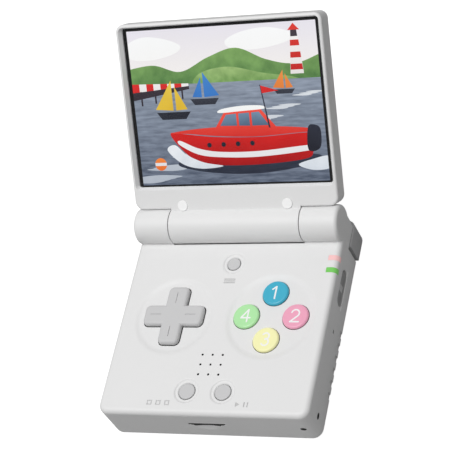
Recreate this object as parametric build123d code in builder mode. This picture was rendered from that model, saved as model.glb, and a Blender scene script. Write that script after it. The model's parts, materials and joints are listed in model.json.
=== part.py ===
"""Clamshell handheld game console, opened as photographed. Millimetres, +Z up.

The origin is the centre of the base's flat underside. X runs to the player's right, Y away from
the player to the hinge, and the lid leans back over the hinge.
"""
from build123d import *
from math import cos, radians, sin, sqrt
import os

os.makedirs("parts", exist_ok=True)

# ---------------------------------------------------------------- base case
case_width = 85.0
case_depth = 87.15
case_height = 18.7
side_wall = 1.8
roof = 1.8
floor = 1.6
front_corner = 4.0
back_corner = 3.0
top_edge = 2.0
bottom_edge = 2.0
parting_height = 5.0
cavity_corner = 7.0
cavity_back_corner = 1.5

# ---------------------------------------------------------------- hinge
barrel_radius = 7.1
hinge_height = 2.9  # hinge axis above the base's top face
barrel_gap = 0.45  # radial gap between the barrel and what it turns in
knuckle_length = 15.4  # each knuckle, with its end gap left out
knuckle_gap = 0.4  # end gap between the barrel and the knuckles
barrel_end_round = 1.5
trough_wall = 1.5
open_angle = 135.4  # from closed to the pose that is modelled
over_travel = 20.0  # from there to fully open

# ---------------------------------------------------------------- lid
lid_face_offset = 2.5  # hinge axis to the lid's screen face
lid_thickness = 9.0
lid_foot = 7.0
lid_reach = 80.05
lid_top_corner = 3.0
lid_bottom_corner = 3.5
lid_front_edge = 0.9
lid_back_edge = 2.2
bezel_thickness = 5.0
lid_wall = 1.8
cover_skin = 1.4

# ---------------------------------------------------------------- screen, along the lid from the axis
recess_depth = 1.85
recess_side = 1.05  # lid's side to the recess
recess_bottom = 14.85
recess_rim = 1.15  # lid's free end to the recess
lens_side = 2.0  # lid's side to the lens
lens_bottom = 15.75
lens_rim = 1.7
lens_corner = 1.0
lens_thickness = 0.6
picture_side = 3.35  # lid's side to the picture
picture_bottom = 16.4
picture_rim = 2.95
gasket_thickness = 0.3
display_thickness = 1.6
display_bottom = 12.6
display_side = 2.6  # lid's side to the display
display_rim = 2.3
backlight_thickness = 1.0
fit_gap = 0.05  # between pieces of one body that are seated in each other
pocket_gap = 0.3  # round the display in its pocket

# ---------------------------------------------------------------- controls
dpad_in = 22.8  # left wall to the pad's centre
dpad_y = -2.4
dpad_span = 24.5
dpad_arm = 8.5
dpad_rise = 1.5
dpad_corner = 2.0
dpad_edge = 1.2
dpad_hole_gap = 0.35
dpad_flange_lip = 1.2
dpad_flange_thickness = 1.2
dpad_tilt_room = 0.8
dpad_dish_radius = 17.0
dpad_mark_length = 4.4
dpad_mark_width = 0.3
dpad_mark_centre = 7.25
face_in = 22.5  # right wall to the cluster's centre
face_y = -2.27
face_spacing = 9.93
face_radius = 5.2
face_rise = 0.45
face_edge = 0.85
face_travel = 0.8
face_dish_radius = 18.8
round_dish_depth = 0.6
round_dish_slope = 3.0
round_hole_gap = 0.22
flange_lip = 1.1
flange_thickness = 1.0
flange_gap = 0.3  # flange to the underside of the roof
menu_in = 22.825  # rear wall to the menu button
menu_radius = 2.55
option_x = 7.3
option_in = 9.575  # front wall to the select and start buttons
option_radius = 3.15
small_drop = 0.3  # tops of the flush buttons below the base's top face
small_travel = 0.5
small_edge = 0.3
small_dish_depth = 0.45
small_dish_slope = 1.0
small_dish_ring = 2.13  # button's edge to its dish's edge
hole_bevel = 0.3
mark_depth = 0.15
mark_line = 0.45
mark_height = 2.0
mark_pitch = 3.6
menu_mark_in = 30.575
menu_mark_width = 4.6
option_mark_x = 17.7
option_mark_in = 4.475
stem_below_flange = 0.6

# ---------------------------------------------------------------- main board and what it carries
board_bottom = 11.4
board_thickness = 1.0
board_margin = 0.4
board_rear_in = 7.575
board_tab_half = 12.6
board_tab_in = 2.275
pad_thickness = 0.6
dome_gap = 0.15  # dome to a fully pressed button
pad_hole = 3.0
dome_taper = 0.75  # a dome's top against its foot
dpad_dome_spacing = 8.2
pivot_radius = 1.4

# ---------------------------------------------------------------- speaker
speaker_x = 0.0
speaker_in = 20.675  # front wall to the speaker's centre
speaker_radius = 7.2
speaker_thickness = 3.0
speaker_seal = 0.4
speaker_seal_width = 1.0
grille_pitch = 4.12
grille_hole = 0.45

# ---------------------------------------------------------------- shoulder buttons at the rear corners
shoulder_inner = 22.5
shoulder_proud = 0.6
shoulder_back_proud = 0.8
shoulder_length = 11.2  # front end of the side part, from the rear wall
shoulder_depth = 3.575  # front face of the part behind the rear wall
shoulder_bottom = 0.2
shoulder_top = 11.1
shoulder_travel = 0.9
shoulder_gap = 0.3
shoulder_edge = 0.6
shoulder_side_thickness = 2.2
trigger_inner = 13.4
trigger_outer = 21.0
trigger_back_proud = 1.7
trigger_bottom = 1.3
trigger_top = 9.4
tongue_height = 1.1
switch_width = 4.0
switch_height = 2.4
switch_front_in = 10.575
switch_rear_in = 6.575
plunger_in = 4.675
plunger_radius = 0.7
shoulder_switch_in = 11.5
trigger_switch_x = 17.2

# ---------------------------------------------------------------- sides
rocker_in = 28.875  # rear wall to the rocker's middle
rocker_z = 10.0
rocker_length = 14.0
rocker_height = 3.4
rocker_recess = 0.5
rocker_hollow = 6.0
rocker_hollow_rise = 5.6
dish_length = 15.4
dish_height = 5.4
power_in = 29.575  # rear wall to the power key's middle
power_z = 10.0
power_length = 9.0
power_height = 2.8
power_proud = 0.5
pinhole_y = -4.0
pinhole_z = 10.2
pinhole_length = 1.7
pinhole_width = 0.8
lanyard_radius = 0.85
lanyard_back = 5.4  # side mouth behind the front wall
lanyard_in = 4.7  # front mouth in from the side wall
lanyard_z = 9.0
groove_count = 6
groove_pitch = 5.1
groove_first = -1.2
groove_width = 2.6
groove_depth = 0.8
groove_height = 4.2
light_count = 2
light_pitch = 5.3
light_in = 20.575  # rear wall to the first light
light_width = 2.2
light_reach = 4.2  # how far a light pipe comes in over the top
light_bottom = 16.1
light_leg = 1.7
light_leg_in = 5.6
light_leg_bottom = 13.4
light_bridge = 0.7
led_height = 0.7
board_notch = 3.7  # side wall to the board beside the rocker and the power key
board_notch_margin = 2.0
key_flange = 0.8
key_flange_lip = 0.9
key_depth = 3.1  # side face to a key's inner face
side_switch_in = 3.7
side_switch_depth = 3.0
side_switch_spacing = 8.4

# ---------------------------------------------------------------- front slot
slot_half_width = 7.5
slot_z = 10.6
slot_height = 1.3
card_width = 11.0
card_length = 15.0
card_thickness = 0.8
card_inset = 1.2
card_gap = 0.15
socket_width = 14.0
socket_depth = 16.5
socket_height = 1.8
scoop_radius = 36.0
scoop_half_width = 6.9
scoop_centre_rise = 2.8

# ---------------------------------------------------------------- rear and left sockets
usb_x = -6.3
usb_width = 8.9
usb_height = 3.2
usb_depth = 7.3
video_x = 6.3
video_width = 11.0
video_height = 3.2
video_depth = 7.5
port_wall = 0.3
port_gap = 0.2
port_set_back = 0.2
port_tongue = 0.7
jack_y = -2.0
jack_bore = 1.75
jack_length = 12.0
jack_width = 6.0
jack_height = 5.0
jack_collar = 2.9

# ---------------------------------------------------------------- battery and small units
battery_x = 2.0
battery_in = 32.575  # front wall to the battery's middle
battery_width = 50.0
battery_depth = 42.0
battery_thickness = 5.0
battery_pad = 0.3
battery_edge = 1.25
tape_margin = 3.6
motor_side = 11.5
motor_in = 14.075
motor_radius = 4.0
motor_thickness = 2.7
shield_width = 26.0
shield_depth = 20.0
shield_height = 1.8
shield_in = 24.575
shield_sheet = 0.3
chip_size = 12.0
chip_height = 1.0

# ---------------------------------------------------------------- screws
boss_radius = 2.3
screw_radius = 0.75
screw_hole = 0.8
screw_head = 1.7
screw_head_height = 1.2
screw_sink = 1.0
head_room = 0.25
screw_slot = 0.45
post_radius = 1.8
screw_length = 10.0
front_screw_side = 5.5  # side wall to a screw, then front wall to it
front_screw_in = 5.975
middle_screw_side = 4.5
middle_screw_in = 23.575
rear_screw_side = 6.0
rear_screw_in = 16.575  # from the rear wall
board_front_screw_side = 14.5
board_front_screw_in = 6.575
board_rear_screw_side = 20.0
board_rear_screw_in = 19.275
bumper_in = 20.6  # side to a bumper's centre
bumper_v = 8.5
bumper_radius = 2.1
bumper_seat = 0.5
bumper_rise = 0.35
bumper_edge = 0.28

# ---------------------------------------------------------------- hinge units
bush_radius = 3.2
bush_bore = 2.5
bush_inner = 3.7  # how far the bush reaches into the barrel
bush_outer = 8.3
unit_radius = 3.95
unit_length = 15.2
unit_front = 8.7  # depth of the click unit's shaft bore
shaft_radius = 2.0
shaft_inner = 7.7
shaft_outer = 10.3
running_gap = 0.05
barrel_bore = 5.6
barrel_end_wall = 3.0
flex_roll = 2.2
flex_thickness = 0.3
flex_width = 12.0
flex_in = 12.7  # barrel's left end to the cable's middle
flex_slot = 1.4
base_flex_width = 1.8
spring_wall = 0.7
magnet_in = 9.5
magnet_v = 10.0
magnet_radius = 2.0
magnet_thickness = 1.5
foam_inset = 8.0
foam_width = 6.0

# ---------------------------------------------------------------- worked out
half_width = case_width / 2
inner_width = case_width - 2 * side_wall
front = -case_depth / 2
back = case_depth / 2
barrel_half = half_width - knuckle_length
recess_half_width = half_width - recess_side
lens_half_width = half_width - lens_side
picture_half_width = half_width - picture_side
display_half_width = half_width - display_side
recess_top = lid_reach - recess_rim
lens_top = lid_reach - lens_rim
picture_top = lid_reach - picture_rim
display_top = lid_reach - display_rim
dpad_x = dpad_in - half_width
face_x = half_width - face_in
option_y = front + option_in
option_mark_y = front + option_mark_in
speaker_y = front + speaker_in
menu_y = back - menu_in
menu_mark_y = back - menu_mark_in
board_rear = back - board_rear_in
board_tab_rear = back - board_tab_in
shoulder_front = back - shoulder_length
shoulder_slab = back - shoulder_depth
switch_front = back - switch_front_in
switch_rear = back - switch_rear_in
plunger_rear = back - plunger_in
shoulder_switch_x = half_width - shoulder_switch_in
rocker_y = back - rocker_in
power_y = back - power_in
light_y = back - light_in
light_inner = half_width - light_reach
light_leg_x = half_width - light_leg_in
board_notch_x = half_width - board_notch
key_inner_x = half_width - key_depth
side_switch_x = half_width - side_switch_in
battery_y = front + battery_in
motor_x = half_width - motor_side
motor_y = front + motor_in
shield_y = back - shield_in
bumper_x = half_width - bumper_in
bush_start = barrel_half - bush_inner
bush_end = barrel_half + bush_outer
unit_start = barrel_half - unit_length
unit_bore_start = barrel_half - unit_front
shaft_start = barrel_half - shaft_inner
shaft_end = barrel_half + shaft_outer
flex_x = flex_in - barrel_half
magnet_x = half_width - magnet_in
ceiling = case_height - roof
axis_y = back - barrel_radius
axis_z = case_height + hinge_height
trough_radius = barrel_radius + barrel_gap
rear_ceiling = axis_z - trough_radius - trough_wall
cavity_rear = axis_y - trough_radius - trough_wall
board_top = board_bottom + board_thickness
lean = 180.0 - open_angle
lid_back = lid_face_offset - lid_thickness
lid_split = lid_face_offset - bezel_thickness
lid_inside = lid_back + cover_skin
lens_face = lid_face_offset - recess_depth
lens_rear = lens_face - lens_thickness
display_face = lens_rear - gasket_thickness
display_rear = display_face - display_thickness
backlight_rear = display_rear - backlight_thickness
port_z = board_bottom - usb_height / 2
jack_z = board_bottom - jack_height / 2
right_case_screws = [
    (half_width - front_screw_side, front + front_screw_in),
    (half_width - middle_screw_side, front + middle_screw_in),
    (half_width - rear_screw_side, back - rear_screw_in),
]
right_board_screws = [
    (half_width - board_front_screw_side, front + board_front_screw_in),
    (half_width - board_rear_screw_side, back - board_rear_screw_in),
]
case_screws = [(side * x, y) for x, y in right_case_screws for side in (-1, 1)]
board_screws = [(side * x, y) for x, y in right_board_screws for side in (-1, 1)]
face_places = [(0, 1, "back"), (0, -1, "front"), (-1, 0, "left"), (1, 0, "right")]


def lid_plane_at(tilt):
    """The lid's own plane: X across, Y up the lid from the hinge axis, Z out of the screen."""
    angle = radians(tilt)
    return Plane(origin=(0, axis_y, axis_z), x_dir=(1, 0, 0), z_dir=(0, -sin(angle), cos(angle)))


lid_plane = lid_plane_at(lean)
wide_open_plane = lid_plane_at(lean - over_travel)


def save(piece, name):
    """Label a finished piece and write it."""
    piece.part.label = name
    export_step(piece.part, f"parts/{name}.step")


def standing(radius, height, mode=Mode.ADD):
    """A cylinder that stands on the current place."""
    Cylinder(radius, height, align=(Align.CENTER, Align.CENTER, Align.MIN), mode=mode)


def hanging(radius, height, mode=Mode.ADD):
    """A cylinder that hangs below the current place."""
    Cylinder(radius, height, align=(Align.CENTER, Align.CENTER, Align.MAX), mode=mode)


# ================================================================ outer form of the base
with BuildPart() as barrel_form:
    with Locations(Location((0, axis_y, axis_z), (0, 90, 0))):
        Cylinder(barrel_radius, case_width)
    fillet(barrel_form.edges().filter_by(GeomType.CIRCLE), barrel_end_round)

with BuildPart() as base_form:
    with BuildSketch() as base_plan:
        Rectangle(case_width, case_depth)
        fillet(base_plan.vertices().group_by(Axis.Y)[0], front_corner)
        fillet(base_plan.vertices().group_by(Axis.Y)[-1], back_corner)
    extrude(amount=case_height)
    fillet(base_form.faces().sort_by(Axis.Z)[-1].edges(), top_edge)
    fillet(base_form.faces().sort_by(Axis.Z)[0].edges(), bottom_edge)
    # the wall that carries the knuckles rises to the hinge axis
    with BuildSketch(Plane.XY.offset(parting_height)) as rear_plan:
        with Locations((0, axis_y)):
            Rectangle(case_width, barrel_radius, align=(Align.CENTER, Align.MIN))
        fillet(rear_plan.vertices().group_by(Axis.Y)[-1], back_corner)
    extrude(amount=axis_z - parting_height)
    add(barrel_form.part)
    # room for the lid's centre barrel, and for the lid's back when it is wide open
    with Locations(Location((0, axis_y, axis_z), (0, 90, 0))):
        Cylinder(trough_radius, 2 * (barrel_half + knuckle_gap), mode=Mode.SUBTRACT)
    with BuildSketch(wide_open_plane.offset(lid_back - barrel_gap)):
        Rectangle(2 * (barrel_half + knuckle_gap), 2 * lid_foot, align=(Align.CENTER, Align.MIN))
    extrude(amount=lid_thickness, mode=Mode.SUBTRACT)

with BuildPart() as cavity:
    with BuildSketch(Plane.XY.offset(floor)) as front_room:
        with Locations((0, front + side_wall)):
            Rectangle(inner_width, cavity_rear - front - side_wall, align=(Align.CENTER, Align.MIN))
        fillet(front_room.vertices().group_by(Axis.Y)[0], cavity_corner)
    extrude(amount=ceiling - floor)
    with BuildSketch(Plane.XY.offset(floor)) as rear_room:
        with Locations((0, cavity_rear)):
            Rectangle(inner_width, back - side_wall - cavity_rear, align=(Align.CENTER, Align.MIN))
        fillet(rear_room.vertices().group_by(Axis.Y)[-1], cavity_back_corner)
    extrude(amount=rear_ceiling - floor)


# ================================================================ cutters shared by the two shells
def shoulder_body(grow, travel):
    """Right shoulder button's outer shape, or its opening when grown and lengthened forwards."""
    outer_x = half_width + shoulder_proud
    outer_y = back + shoulder_back_proud
    low = shoulder_bottom - (floor if grow else 0)
    with BuildPart() as body:
        with BuildSketch(Plane.XY.offset(low)) as plan:
            with BuildLine():
                Polyline(
                    (shoulder_inner - grow, shoulder_slab - travel - grow),
                    (outer_x - shoulder_side_thickness - grow, shoulder_slab - travel - grow),
                    (outer_x - shoulder_side_thickness - grow, shoulder_front - travel - grow),
                    (outer_x + grow, shoulder_front - travel - grow),
                    (outer_x + grow, outer_y + grow),
                    (shoulder_inner - grow, outer_y + grow),
                    close=True,
                )
            make_face()
            if not grow:
                corner = plan.vertices().sort_by(Axis.Y)[-2:].sort_by(Axis.X)[-1]
                fillet(corner, back_corner + shoulder_proud)
        extrude(amount=shoulder_top + grow - low)
        if not grow:
            fillet(body.faces().sort_by(Axis.Z)[-1].edges(), shoulder_edge)
            fillet(body.faces().sort_by(Axis.Z)[0].edges(), shoulder_edge)
    return body.part


def trigger_body(grow, travel):
    """Right inner trigger's outer shape, or its opening."""
    outer_y = back + trigger_back_proud
    with BuildPart() as body:
        with BuildSketch(Plane.XY.offset(trigger_bottom - grow)):
            with Locations(((trigger_inner + trigger_outer) / 2, shoulder_slab - travel - grow)):
                Rectangle(
                    trigger_outer - trigger_inner + 2 * grow,
                    outer_y - shoulder_slab + travel + 2 * grow,
                    align=(Align.CENTER, Align.MIN),
                )
        extrude(amount=trigger_top - trigger_bottom + 2 * grow)
        if not grow:
            fillet(body.faces().sort_by(Axis.Y)[-1].edges(), shoulder_edge)
    return body.part


shoulder_opening = shoulder_body(shoulder_gap, shoulder_travel)
trigger_opening = trigger_body(shoulder_gap, shoulder_travel)


def cut_shoulder_openings():
    """Cut the four shoulder openings out of the shell that is being built."""
    add(shoulder_opening, mode=Mode.SUBTRACT)
    add(mirror(shoulder_opening, about=Plane.YZ, mode=Mode.PRIVATE), mode=Mode.SUBTRACT)
    add(trigger_opening, mode=Mode.SUBTRACT)
    add(mirror(trigger_opening, about=Plane.YZ, mode=Mode.PRIVATE), mode=Mode.SUBTRACT)


def sunk_dish(x, y, radius, slope, depth):
    """Sink a shallow round dish whose edge flows into the base's top face in two equal arcs."""
    half = slope / 2
    inner = radius - slope
    with BuildSketch(Plane(origin=(x, y, case_height), x_dir=(1, 0, 0), z_dir=(0, -1, 0))) as profile:
        with BuildLine():
            Line((0, roof), (0, -depth))
            Line((0, -depth), (inner, -depth))
            sweep_up = TangentArc((inner, -depth), (inner + half, -depth / 2), tangent=(1, 0))
            TangentArc((inner + half, -depth / 2), (radius, 0), tangent=sweep_up % 1)
            Line((radius, 0), (radius, roof))
            Line((radius, roof), (0, roof))
        make_face()
    revolve(profile.sketch, axis=Axis((x, y, 0), (0, 0, 1)), mode=Mode.SUBTRACT)


def cross_outline(grow):
    """Direction pad's outline, grown by a clearance."""
    Rectangle(dpad_span + 2 * grow, dpad_arm + 2 * grow)
    Rectangle(dpad_arm + 2 * grow, dpad_span + 2 * grow)


def generic_marks():
    """Plain signs beside the three flush buttons: stacked bars, three squares, an arrow and two bars."""
    with Locations((0, menu_mark_y)):
        with GridLocations(0, (mark_height - mark_line) / 2, 1, 3):
            Rectangle(menu_mark_width, mark_line)
    with Locations((-option_mark_x, option_mark_y)):
        with GridLocations(mark_pitch, 0, 3, 1):
            Rectangle(mark_height, mark_height)
            Rectangle(mark_height - 2 * mark_line, mark_height - 2 * mark_line, mode=Mode.SUBTRACT)
    with Locations((option_mark_x - mark_pitch, option_mark_y)):
        RegularPolygon(mark_height / sqrt(3), 3)
    with Locations((option_mark_x, option_mark_y)):
        with GridLocations(3 * mark_line, 0, 2, 1):
            Rectangle(mark_line, mark_height)


def small_hole(x, y, radius):
    """Hole for a flush round button, in its own shallow dish, with a bevelled mouth."""
    sunk_dish(x, y, radius + small_dish_ring, small_dish_slope, small_dish_depth)
    with Locations((x, y, case_height - small_dish_depth)):
        hole = radius + round_hole_gap
        hanging(hole, roof, Mode.SUBTRACT)
        Cone(
            hole,
            hole + hole_bevel,
            hole_bevel,
            align=(Align.CENTER, Align.CENTER, Align.MAX),
            mode=Mode.SUBTRACT,
        )


with BuildPart() as scoop:
    with Locations((0, front - sqrt(scoop_radius**2 - scoop_half_width**2), slot_z + scoop_centre_rise)):
        Sphere(scoop_radius)
    with Locations((0, front, slot_z)):
        Box(
            4 * scoop_half_width,
            4 * side_wall,
            slot_z - parting_height,
            align=(Align.CENTER, Align.CENTER, Align.MAX),
            mode=Mode.INTERSECT,
        )


# ================================================================ base, upper shell
with BuildPart() as base_top_shell:
    add(base_form.part)
    split(bisect_by=Plane.XY.offset(parting_height), keep=Keep.TOP)
    sunk_dish(dpad_x, dpad_y, dpad_dish_radius, round_dish_slope, round_dish_depth)
    sunk_dish(face_x, face_y, face_dish_radius, round_dish_slope, round_dish_depth)
    add(cavity.part, mode=Mode.SUBTRACT)
    # screw bosses and board posts hang from the roof
    for x, y in case_screws:
        with Locations((x, y, ceiling)):
            hanging(boss_radius, ceiling - parting_height)
    for x, y in board_screws:
        with Locations((x, y, ceiling)):
            hanging(post_radius, ceiling - board_top)
    for x, y in case_screws:
        with Locations((x, y, parting_height)):
            standing(screw_hole, ceiling - parting_height, Mode.SUBTRACT)
    for x, y in board_screws:
        with Locations((x, y, board_top)):
            standing(screw_hole, ceiling - board_top - side_wall, Mode.SUBTRACT)
    # direction pad
    with BuildSketch(Plane(origin=(dpad_x, dpad_y, ceiling - roof))) as cross_hole:
        cross_outline(dpad_hole_gap)
        hole_tips = cross_hole.vertices().filter_by(lambda v: abs(v.X) + abs(v.Y) > dpad_span / 2)
        fillet(hole_tips, dpad_corner + dpad_hole_gap)
    extrude(amount=3 * roof, mode=Mode.SUBTRACT)
    # face buttons
    for step_x, step_y, _ in face_places:
        with Locations((face_x + face_spacing * step_x, face_y + face_spacing * step_y, case_height)):
            Cylinder(face_radius + round_hole_gap, 3 * roof, mode=Mode.SUBTRACT)
    small_hole(0, menu_y, menu_radius)
    small_hole(-option_x, option_y, option_radius)
    small_hole(option_x, option_y, option_radius)
    # speaker grille
    with Locations((speaker_x, speaker_y, case_height)):
        with GridLocations(grille_pitch, grille_pitch, 3, 3):
            Cylinder(grille_hole, 3 * roof, mode=Mode.SUBTRACT)
    with BuildSketch(Plane.XY.offset(case_height)):
        generic_marks()
    extrude(amount=-mark_depth, mode=Mode.SUBTRACT)
    cut_shoulder_openings()
    # front slot and the finger scoop below it
    with Locations((0, front, slot_z)):
        Box(2 * slot_half_width, 3 * side_wall, slot_height, mode=Mode.SUBTRACT)
    add(scoop.part, mode=Mode.SUBTRACT)
    # rear sockets
    with BuildSketch(Plane(origin=(0, back, port_z), x_dir=(1, 0, 0), z_dir=(0, -1, 0))):
        with Locations((usb_x, 0)):
            RectangleRounded(usb_width + 2 * port_gap, usb_height + 2 * port_gap, usb_height / 2)
        with Locations((video_x, 0)):
            RectangleRounded(video_width + 2 * port_gap, video_height + 2 * port_gap, port_gap)
    extrude(amount=2 * side_wall, both=True, mode=Mode.SUBTRACT)
    # headphone jack, on the left
    with Locations(Location((-half_width, jack_y, jack_z), (0, 90, 0))):
        Cylinder(jack_collar + fit_gap, 3 * side_wall, mode=Mode.SUBTRACT)
    # volume rocker's dish and opening, on the right
    with BuildSketch(Plane(origin=(half_width, rocker_y, rocker_z), x_dir=(0, 1, 0), z_dir=(1, 0, 0))):
        SlotOverall(dish_length, dish_height)
    extrude(amount=-rocker_recess, mode=Mode.SUBTRACT)
    with BuildSketch(Plane(origin=(half_width, rocker_y, rocker_z), x_dir=(0, 1, 0), z_dir=(1, 0, 0))):
        SlotOverall(rocker_length + 2 * shoulder_gap, rocker_height + 2 * shoulder_gap)
    extrude(amount=-2 * side_wall, mode=Mode.SUBTRACT)
    # power key, on the left
    with BuildSketch(Plane(origin=(-half_width, power_y, power_z), x_dir=(0, 1, 0), z_dir=(1, 0, 0))):
        SlotOverall(power_length + 2 * round_hole_gap, power_height + 2 * round_hole_gap)
    extrude(amount=2 * side_wall, mode=Mode.SUBTRACT)
    # reset pinhole, on the right
    with BuildSketch(Plane(origin=(half_width, pinhole_y, pinhole_z), x_dir=(0, 1, 0), z_dir=(1, 0, 0))):
        SlotOverall(pinhole_length, pinhole_width)
    extrude(amount=-2 * side_wall, mode=Mode.SUBTRACT)
    # lanyard hole across the front right corner
    side_mouth = Vector(half_width, front + lanyard_back, lanyard_z)
    front_mouth = Vector(half_width - lanyard_in, front, lanyard_z)
    lanyard_way = (side_mouth - front_mouth).normalized()
    lanyard_middle = (side_mouth + front_mouth) / 2
    with BuildSketch(Plane(origin=lanyard_middle, z_dir=lanyard_way)):
        Circle(lanyard_radius)
    extrude(amount=lanyard_back, both=True, mode=Mode.SUBTRACT)
    # slots for the two light pipes
    for index in range(light_count):
        with Locations((light_inner, light_y - index * light_pitch, light_bottom)):
            Box(
                half_width - light_inner + side_wall,
                light_width,
                case_height - light_bottom + roof,
                align=(Align.MIN, Align.CENTER, Align.MIN),
                mode=Mode.SUBTRACT,
            )
    # bores for the hinge pieces in the two knuckles
    with Locations(Location((barrel_half + knuckle_gap, axis_y, axis_z), (0, 90, 0))):
        standing(shaft_radius + fit_gap, shaft_end - barrel_half - knuckle_gap, Mode.SUBTRACT)
    with Locations(Location((-barrel_half - knuckle_gap, axis_y, axis_z), (0, -90, 0))):
        standing(bush_radius + fit_gap, shaft_end - barrel_half - knuckle_gap, Mode.SUBTRACT)
    with Locations((-shaft_end, axis_y, axis_z)):
        Box(
            flex_roll,
            2 * flex_roll,
            axis_z - rear_ceiling + roof,
            align=(Align.MIN, Align.CENTER, Align.MAX),
            mode=Mode.SUBTRACT,
        )
save(base_top_shell, "base_top_shell")


# ================================================================ base, lower shell
with BuildPart() as groove_cutter:
    for index in range(groove_count):
        with BuildSketch(
            Plane(
                origin=(half_width, groove_first - index * groove_pitch, 0),
                x_dir=(0, 1, 0),
                z_dir=(1, 0, 0),
            )
        ):
            SlotOverall(2 * groove_height, groove_width, rotation=90)
        extrude(amount=groove_depth, both=True)

with BuildPart() as base_bottom_shell:
    add(base_form.part)
    split(bisect_by=Plane.XY.offset(parting_height), keep=Keep.BOTTOM)
    add(cavity.part, mode=Mode.SUBTRACT)
    for x, y in case_screws:
        with Locations((x, y, floor)):
            standing(boss_radius, parting_height - floor)
    cut_shoulder_openings()
    for x, y in case_screws:
        with Locations((x, y, 0)):
            Cylinder(screw_radius + running_gap, 2 * parting_height, mode=Mode.SUBTRACT)
            standing(screw_head + head_room, screw_sink + screw_head_height, Mode.SUBTRACT)
    add(groove_cutter.part, mode=Mode.SUBTRACT)
    add(mirror(groove_cutter.part, about=Plane.YZ, mode=Mode.PRIVATE), mode=Mode.SUBTRACT)
save(base_bottom_shell, "base_bottom_shell")


# ================================================================ main board
def on_board(x, y, width, depth, height, above=False):
    """A box standing on the board's top face or hanging from its underside."""
    align_z = Align.MIN if above else Align.MAX
    with Locations((x, y, board_top if above else board_bottom)):
        Box(width, depth, height, align=(Align.CENTER, Align.CENTER, align_z))


with BuildPart() as main_board:
    board_width = case_width - 2 * side_wall - 2 * board_margin
    board_front = front + side_wall + board_margin
    with BuildSketch(Plane.XY.offset(board_bottom)) as board_plan:
        with Locations((0, board_front)):
            Rectangle(board_width, board_rear - board_front, align=(Align.CENTER, Align.MIN))
        fillet(board_plan.vertices().group_by(Axis.Y)[0], cavity_corner)
        with Locations((0, board_front + cavity_corner)):
            Rectangle(
                2 * board_tab_half,
                board_tab_rear - board_front - cavity_corner,
                align=(Align.CENTER, Align.MIN),
            )
        with Locations(*case_screws):
            Circle(boss_radius + pocket_gap, mode=Mode.SUBTRACT)
        with Locations(*board_screws):
            Circle(screw_radius + running_gap, mode=Mode.SUBTRACT)
        with Locations((board_notch_x, rocker_y)):
            Rectangle(
                board_width,
                rocker_length + 2 * board_notch_margin,
                align=(Align.MIN, Align.CENTER),
                mode=Mode.SUBTRACT,
            )
        with Locations((-board_notch_x, power_y)):
            Rectangle(
                board_width,
                power_length + 2 * board_notch_margin,
                align=(Align.MAX, Align.CENTER),
                mode=Mode.SUBTRACT,
            )
    extrude(amount=board_thickness)
save(main_board, "main_board")

with BuildPart() as board_fasteners:
    for x, y in board_screws:
        with Locations((x, y, board_bottom)):
            hanging(screw_head, screw_head_height)
            standing(screw_radius, board_thickness + ceiling - board_top - roof - head_room)
save(board_fasteners, "board_screws")

with BuildPart() as processor:
    on_board(0, shield_y, chip_size, chip_size, chip_height)
save(processor, "processor_chip")

with BuildPart() as board_shield:
    on_board(0, shield_y, shield_width, shield_depth, shield_height)
    with Locations((0, shield_y, board_bottom)):
        Box(
            shield_width - 2 * shield_sheet,
            shield_depth - 2 * shield_sheet,
            shield_height - shield_sheet,
            align=(Align.CENTER, Align.CENTER, Align.MAX),
            mode=Mode.SUBTRACT,
        )
save(board_shield, "board_shield")

with BuildPart() as battery_tape:
    with Locations((battery_x, battery_y, floor)):
        Box(
            battery_width - 2 * tape_margin,
            battery_depth - 2 * tape_margin,
            battery_pad,
            align=(Align.CENTER, Align.CENTER, Align.MIN),
        )
save(battery_tape, "battery_tape")

with BuildPart() as battery:
    with Locations((battery_x, battery_y, floor + battery_pad)):
        Box(battery_width, battery_depth, battery_thickness, align=(Align.CENTER, Align.CENTER, Align.MIN))
    fillet(battery.edges().filter_by(Axis.Y), battery_edge)
save(battery, "battery")

with BuildPart() as vibration_motor:
    with Locations((motor_x, motor_y, board_bottom)):
        hanging(motor_radius, motor_thickness)
save(vibration_motor, "vibration_motor")

with BuildPart() as speaker_gasket:
    with Locations((speaker_x, speaker_y, ceiling)):
        hanging(speaker_radius, speaker_seal)
        Cylinder(speaker_radius - speaker_seal_width, 4 * speaker_seal, mode=Mode.SUBTRACT)
save(speaker_gasket, "speaker_gasket")

with BuildPart() as speaker:
    with Locations((speaker_x, speaker_y, ceiling - speaker_seal)):
        hanging(speaker_radius, speaker_thickness)
        Cylinder(
            speaker_radius - 2 * speaker_seal_width,
            2 * speaker_seal,
            align=(Align.CENTER, Align.CENTER, Align.CENTER),
            mode=Mode.SUBTRACT,
        )
save(speaker, "speaker")

with BuildPart() as light_chips:
    light_chip_x = light_leg_x + light_leg / 2
    for index in range(light_count):
        on_board(light_chip_x, light_y - index * light_pitch, light_leg, light_leg, led_height, True)
save(light_chips, "indicator_lights")

# ================================================================ light pipes round the upper right edge
for index, light_name in enumerate(["power_light_pipe", "charge_light_pipe"]):
    pipe_y = light_y - index * light_pitch
    with BuildPart() as light_pipe:
        add(base_form.part)
        with Locations((light_inner + fit_gap, pipe_y, light_bottom + fit_gap)):
            Box(
                half_width,
                light_width - 2 * fit_gap,
                case_height,
                align=(Align.MIN, Align.CENTER, Align.MIN),
                mode=Mode.INTERSECT,
            )
        with Locations((light_leg_x, pipe_y, light_bottom + fit_gap)):
            Box(
                light_inner - light_leg_x + light_leg,
                light_leg,
                light_bridge,
                align=(Align.MIN, Align.CENTER, Align.MIN),
            )
            Box(
                light_leg,
                light_leg,
                light_bottom - light_leg_bottom,
                align=(Align.MIN, Align.CENTER, Align.MAX),
            )
    save(light_pipe, light_name)

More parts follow.
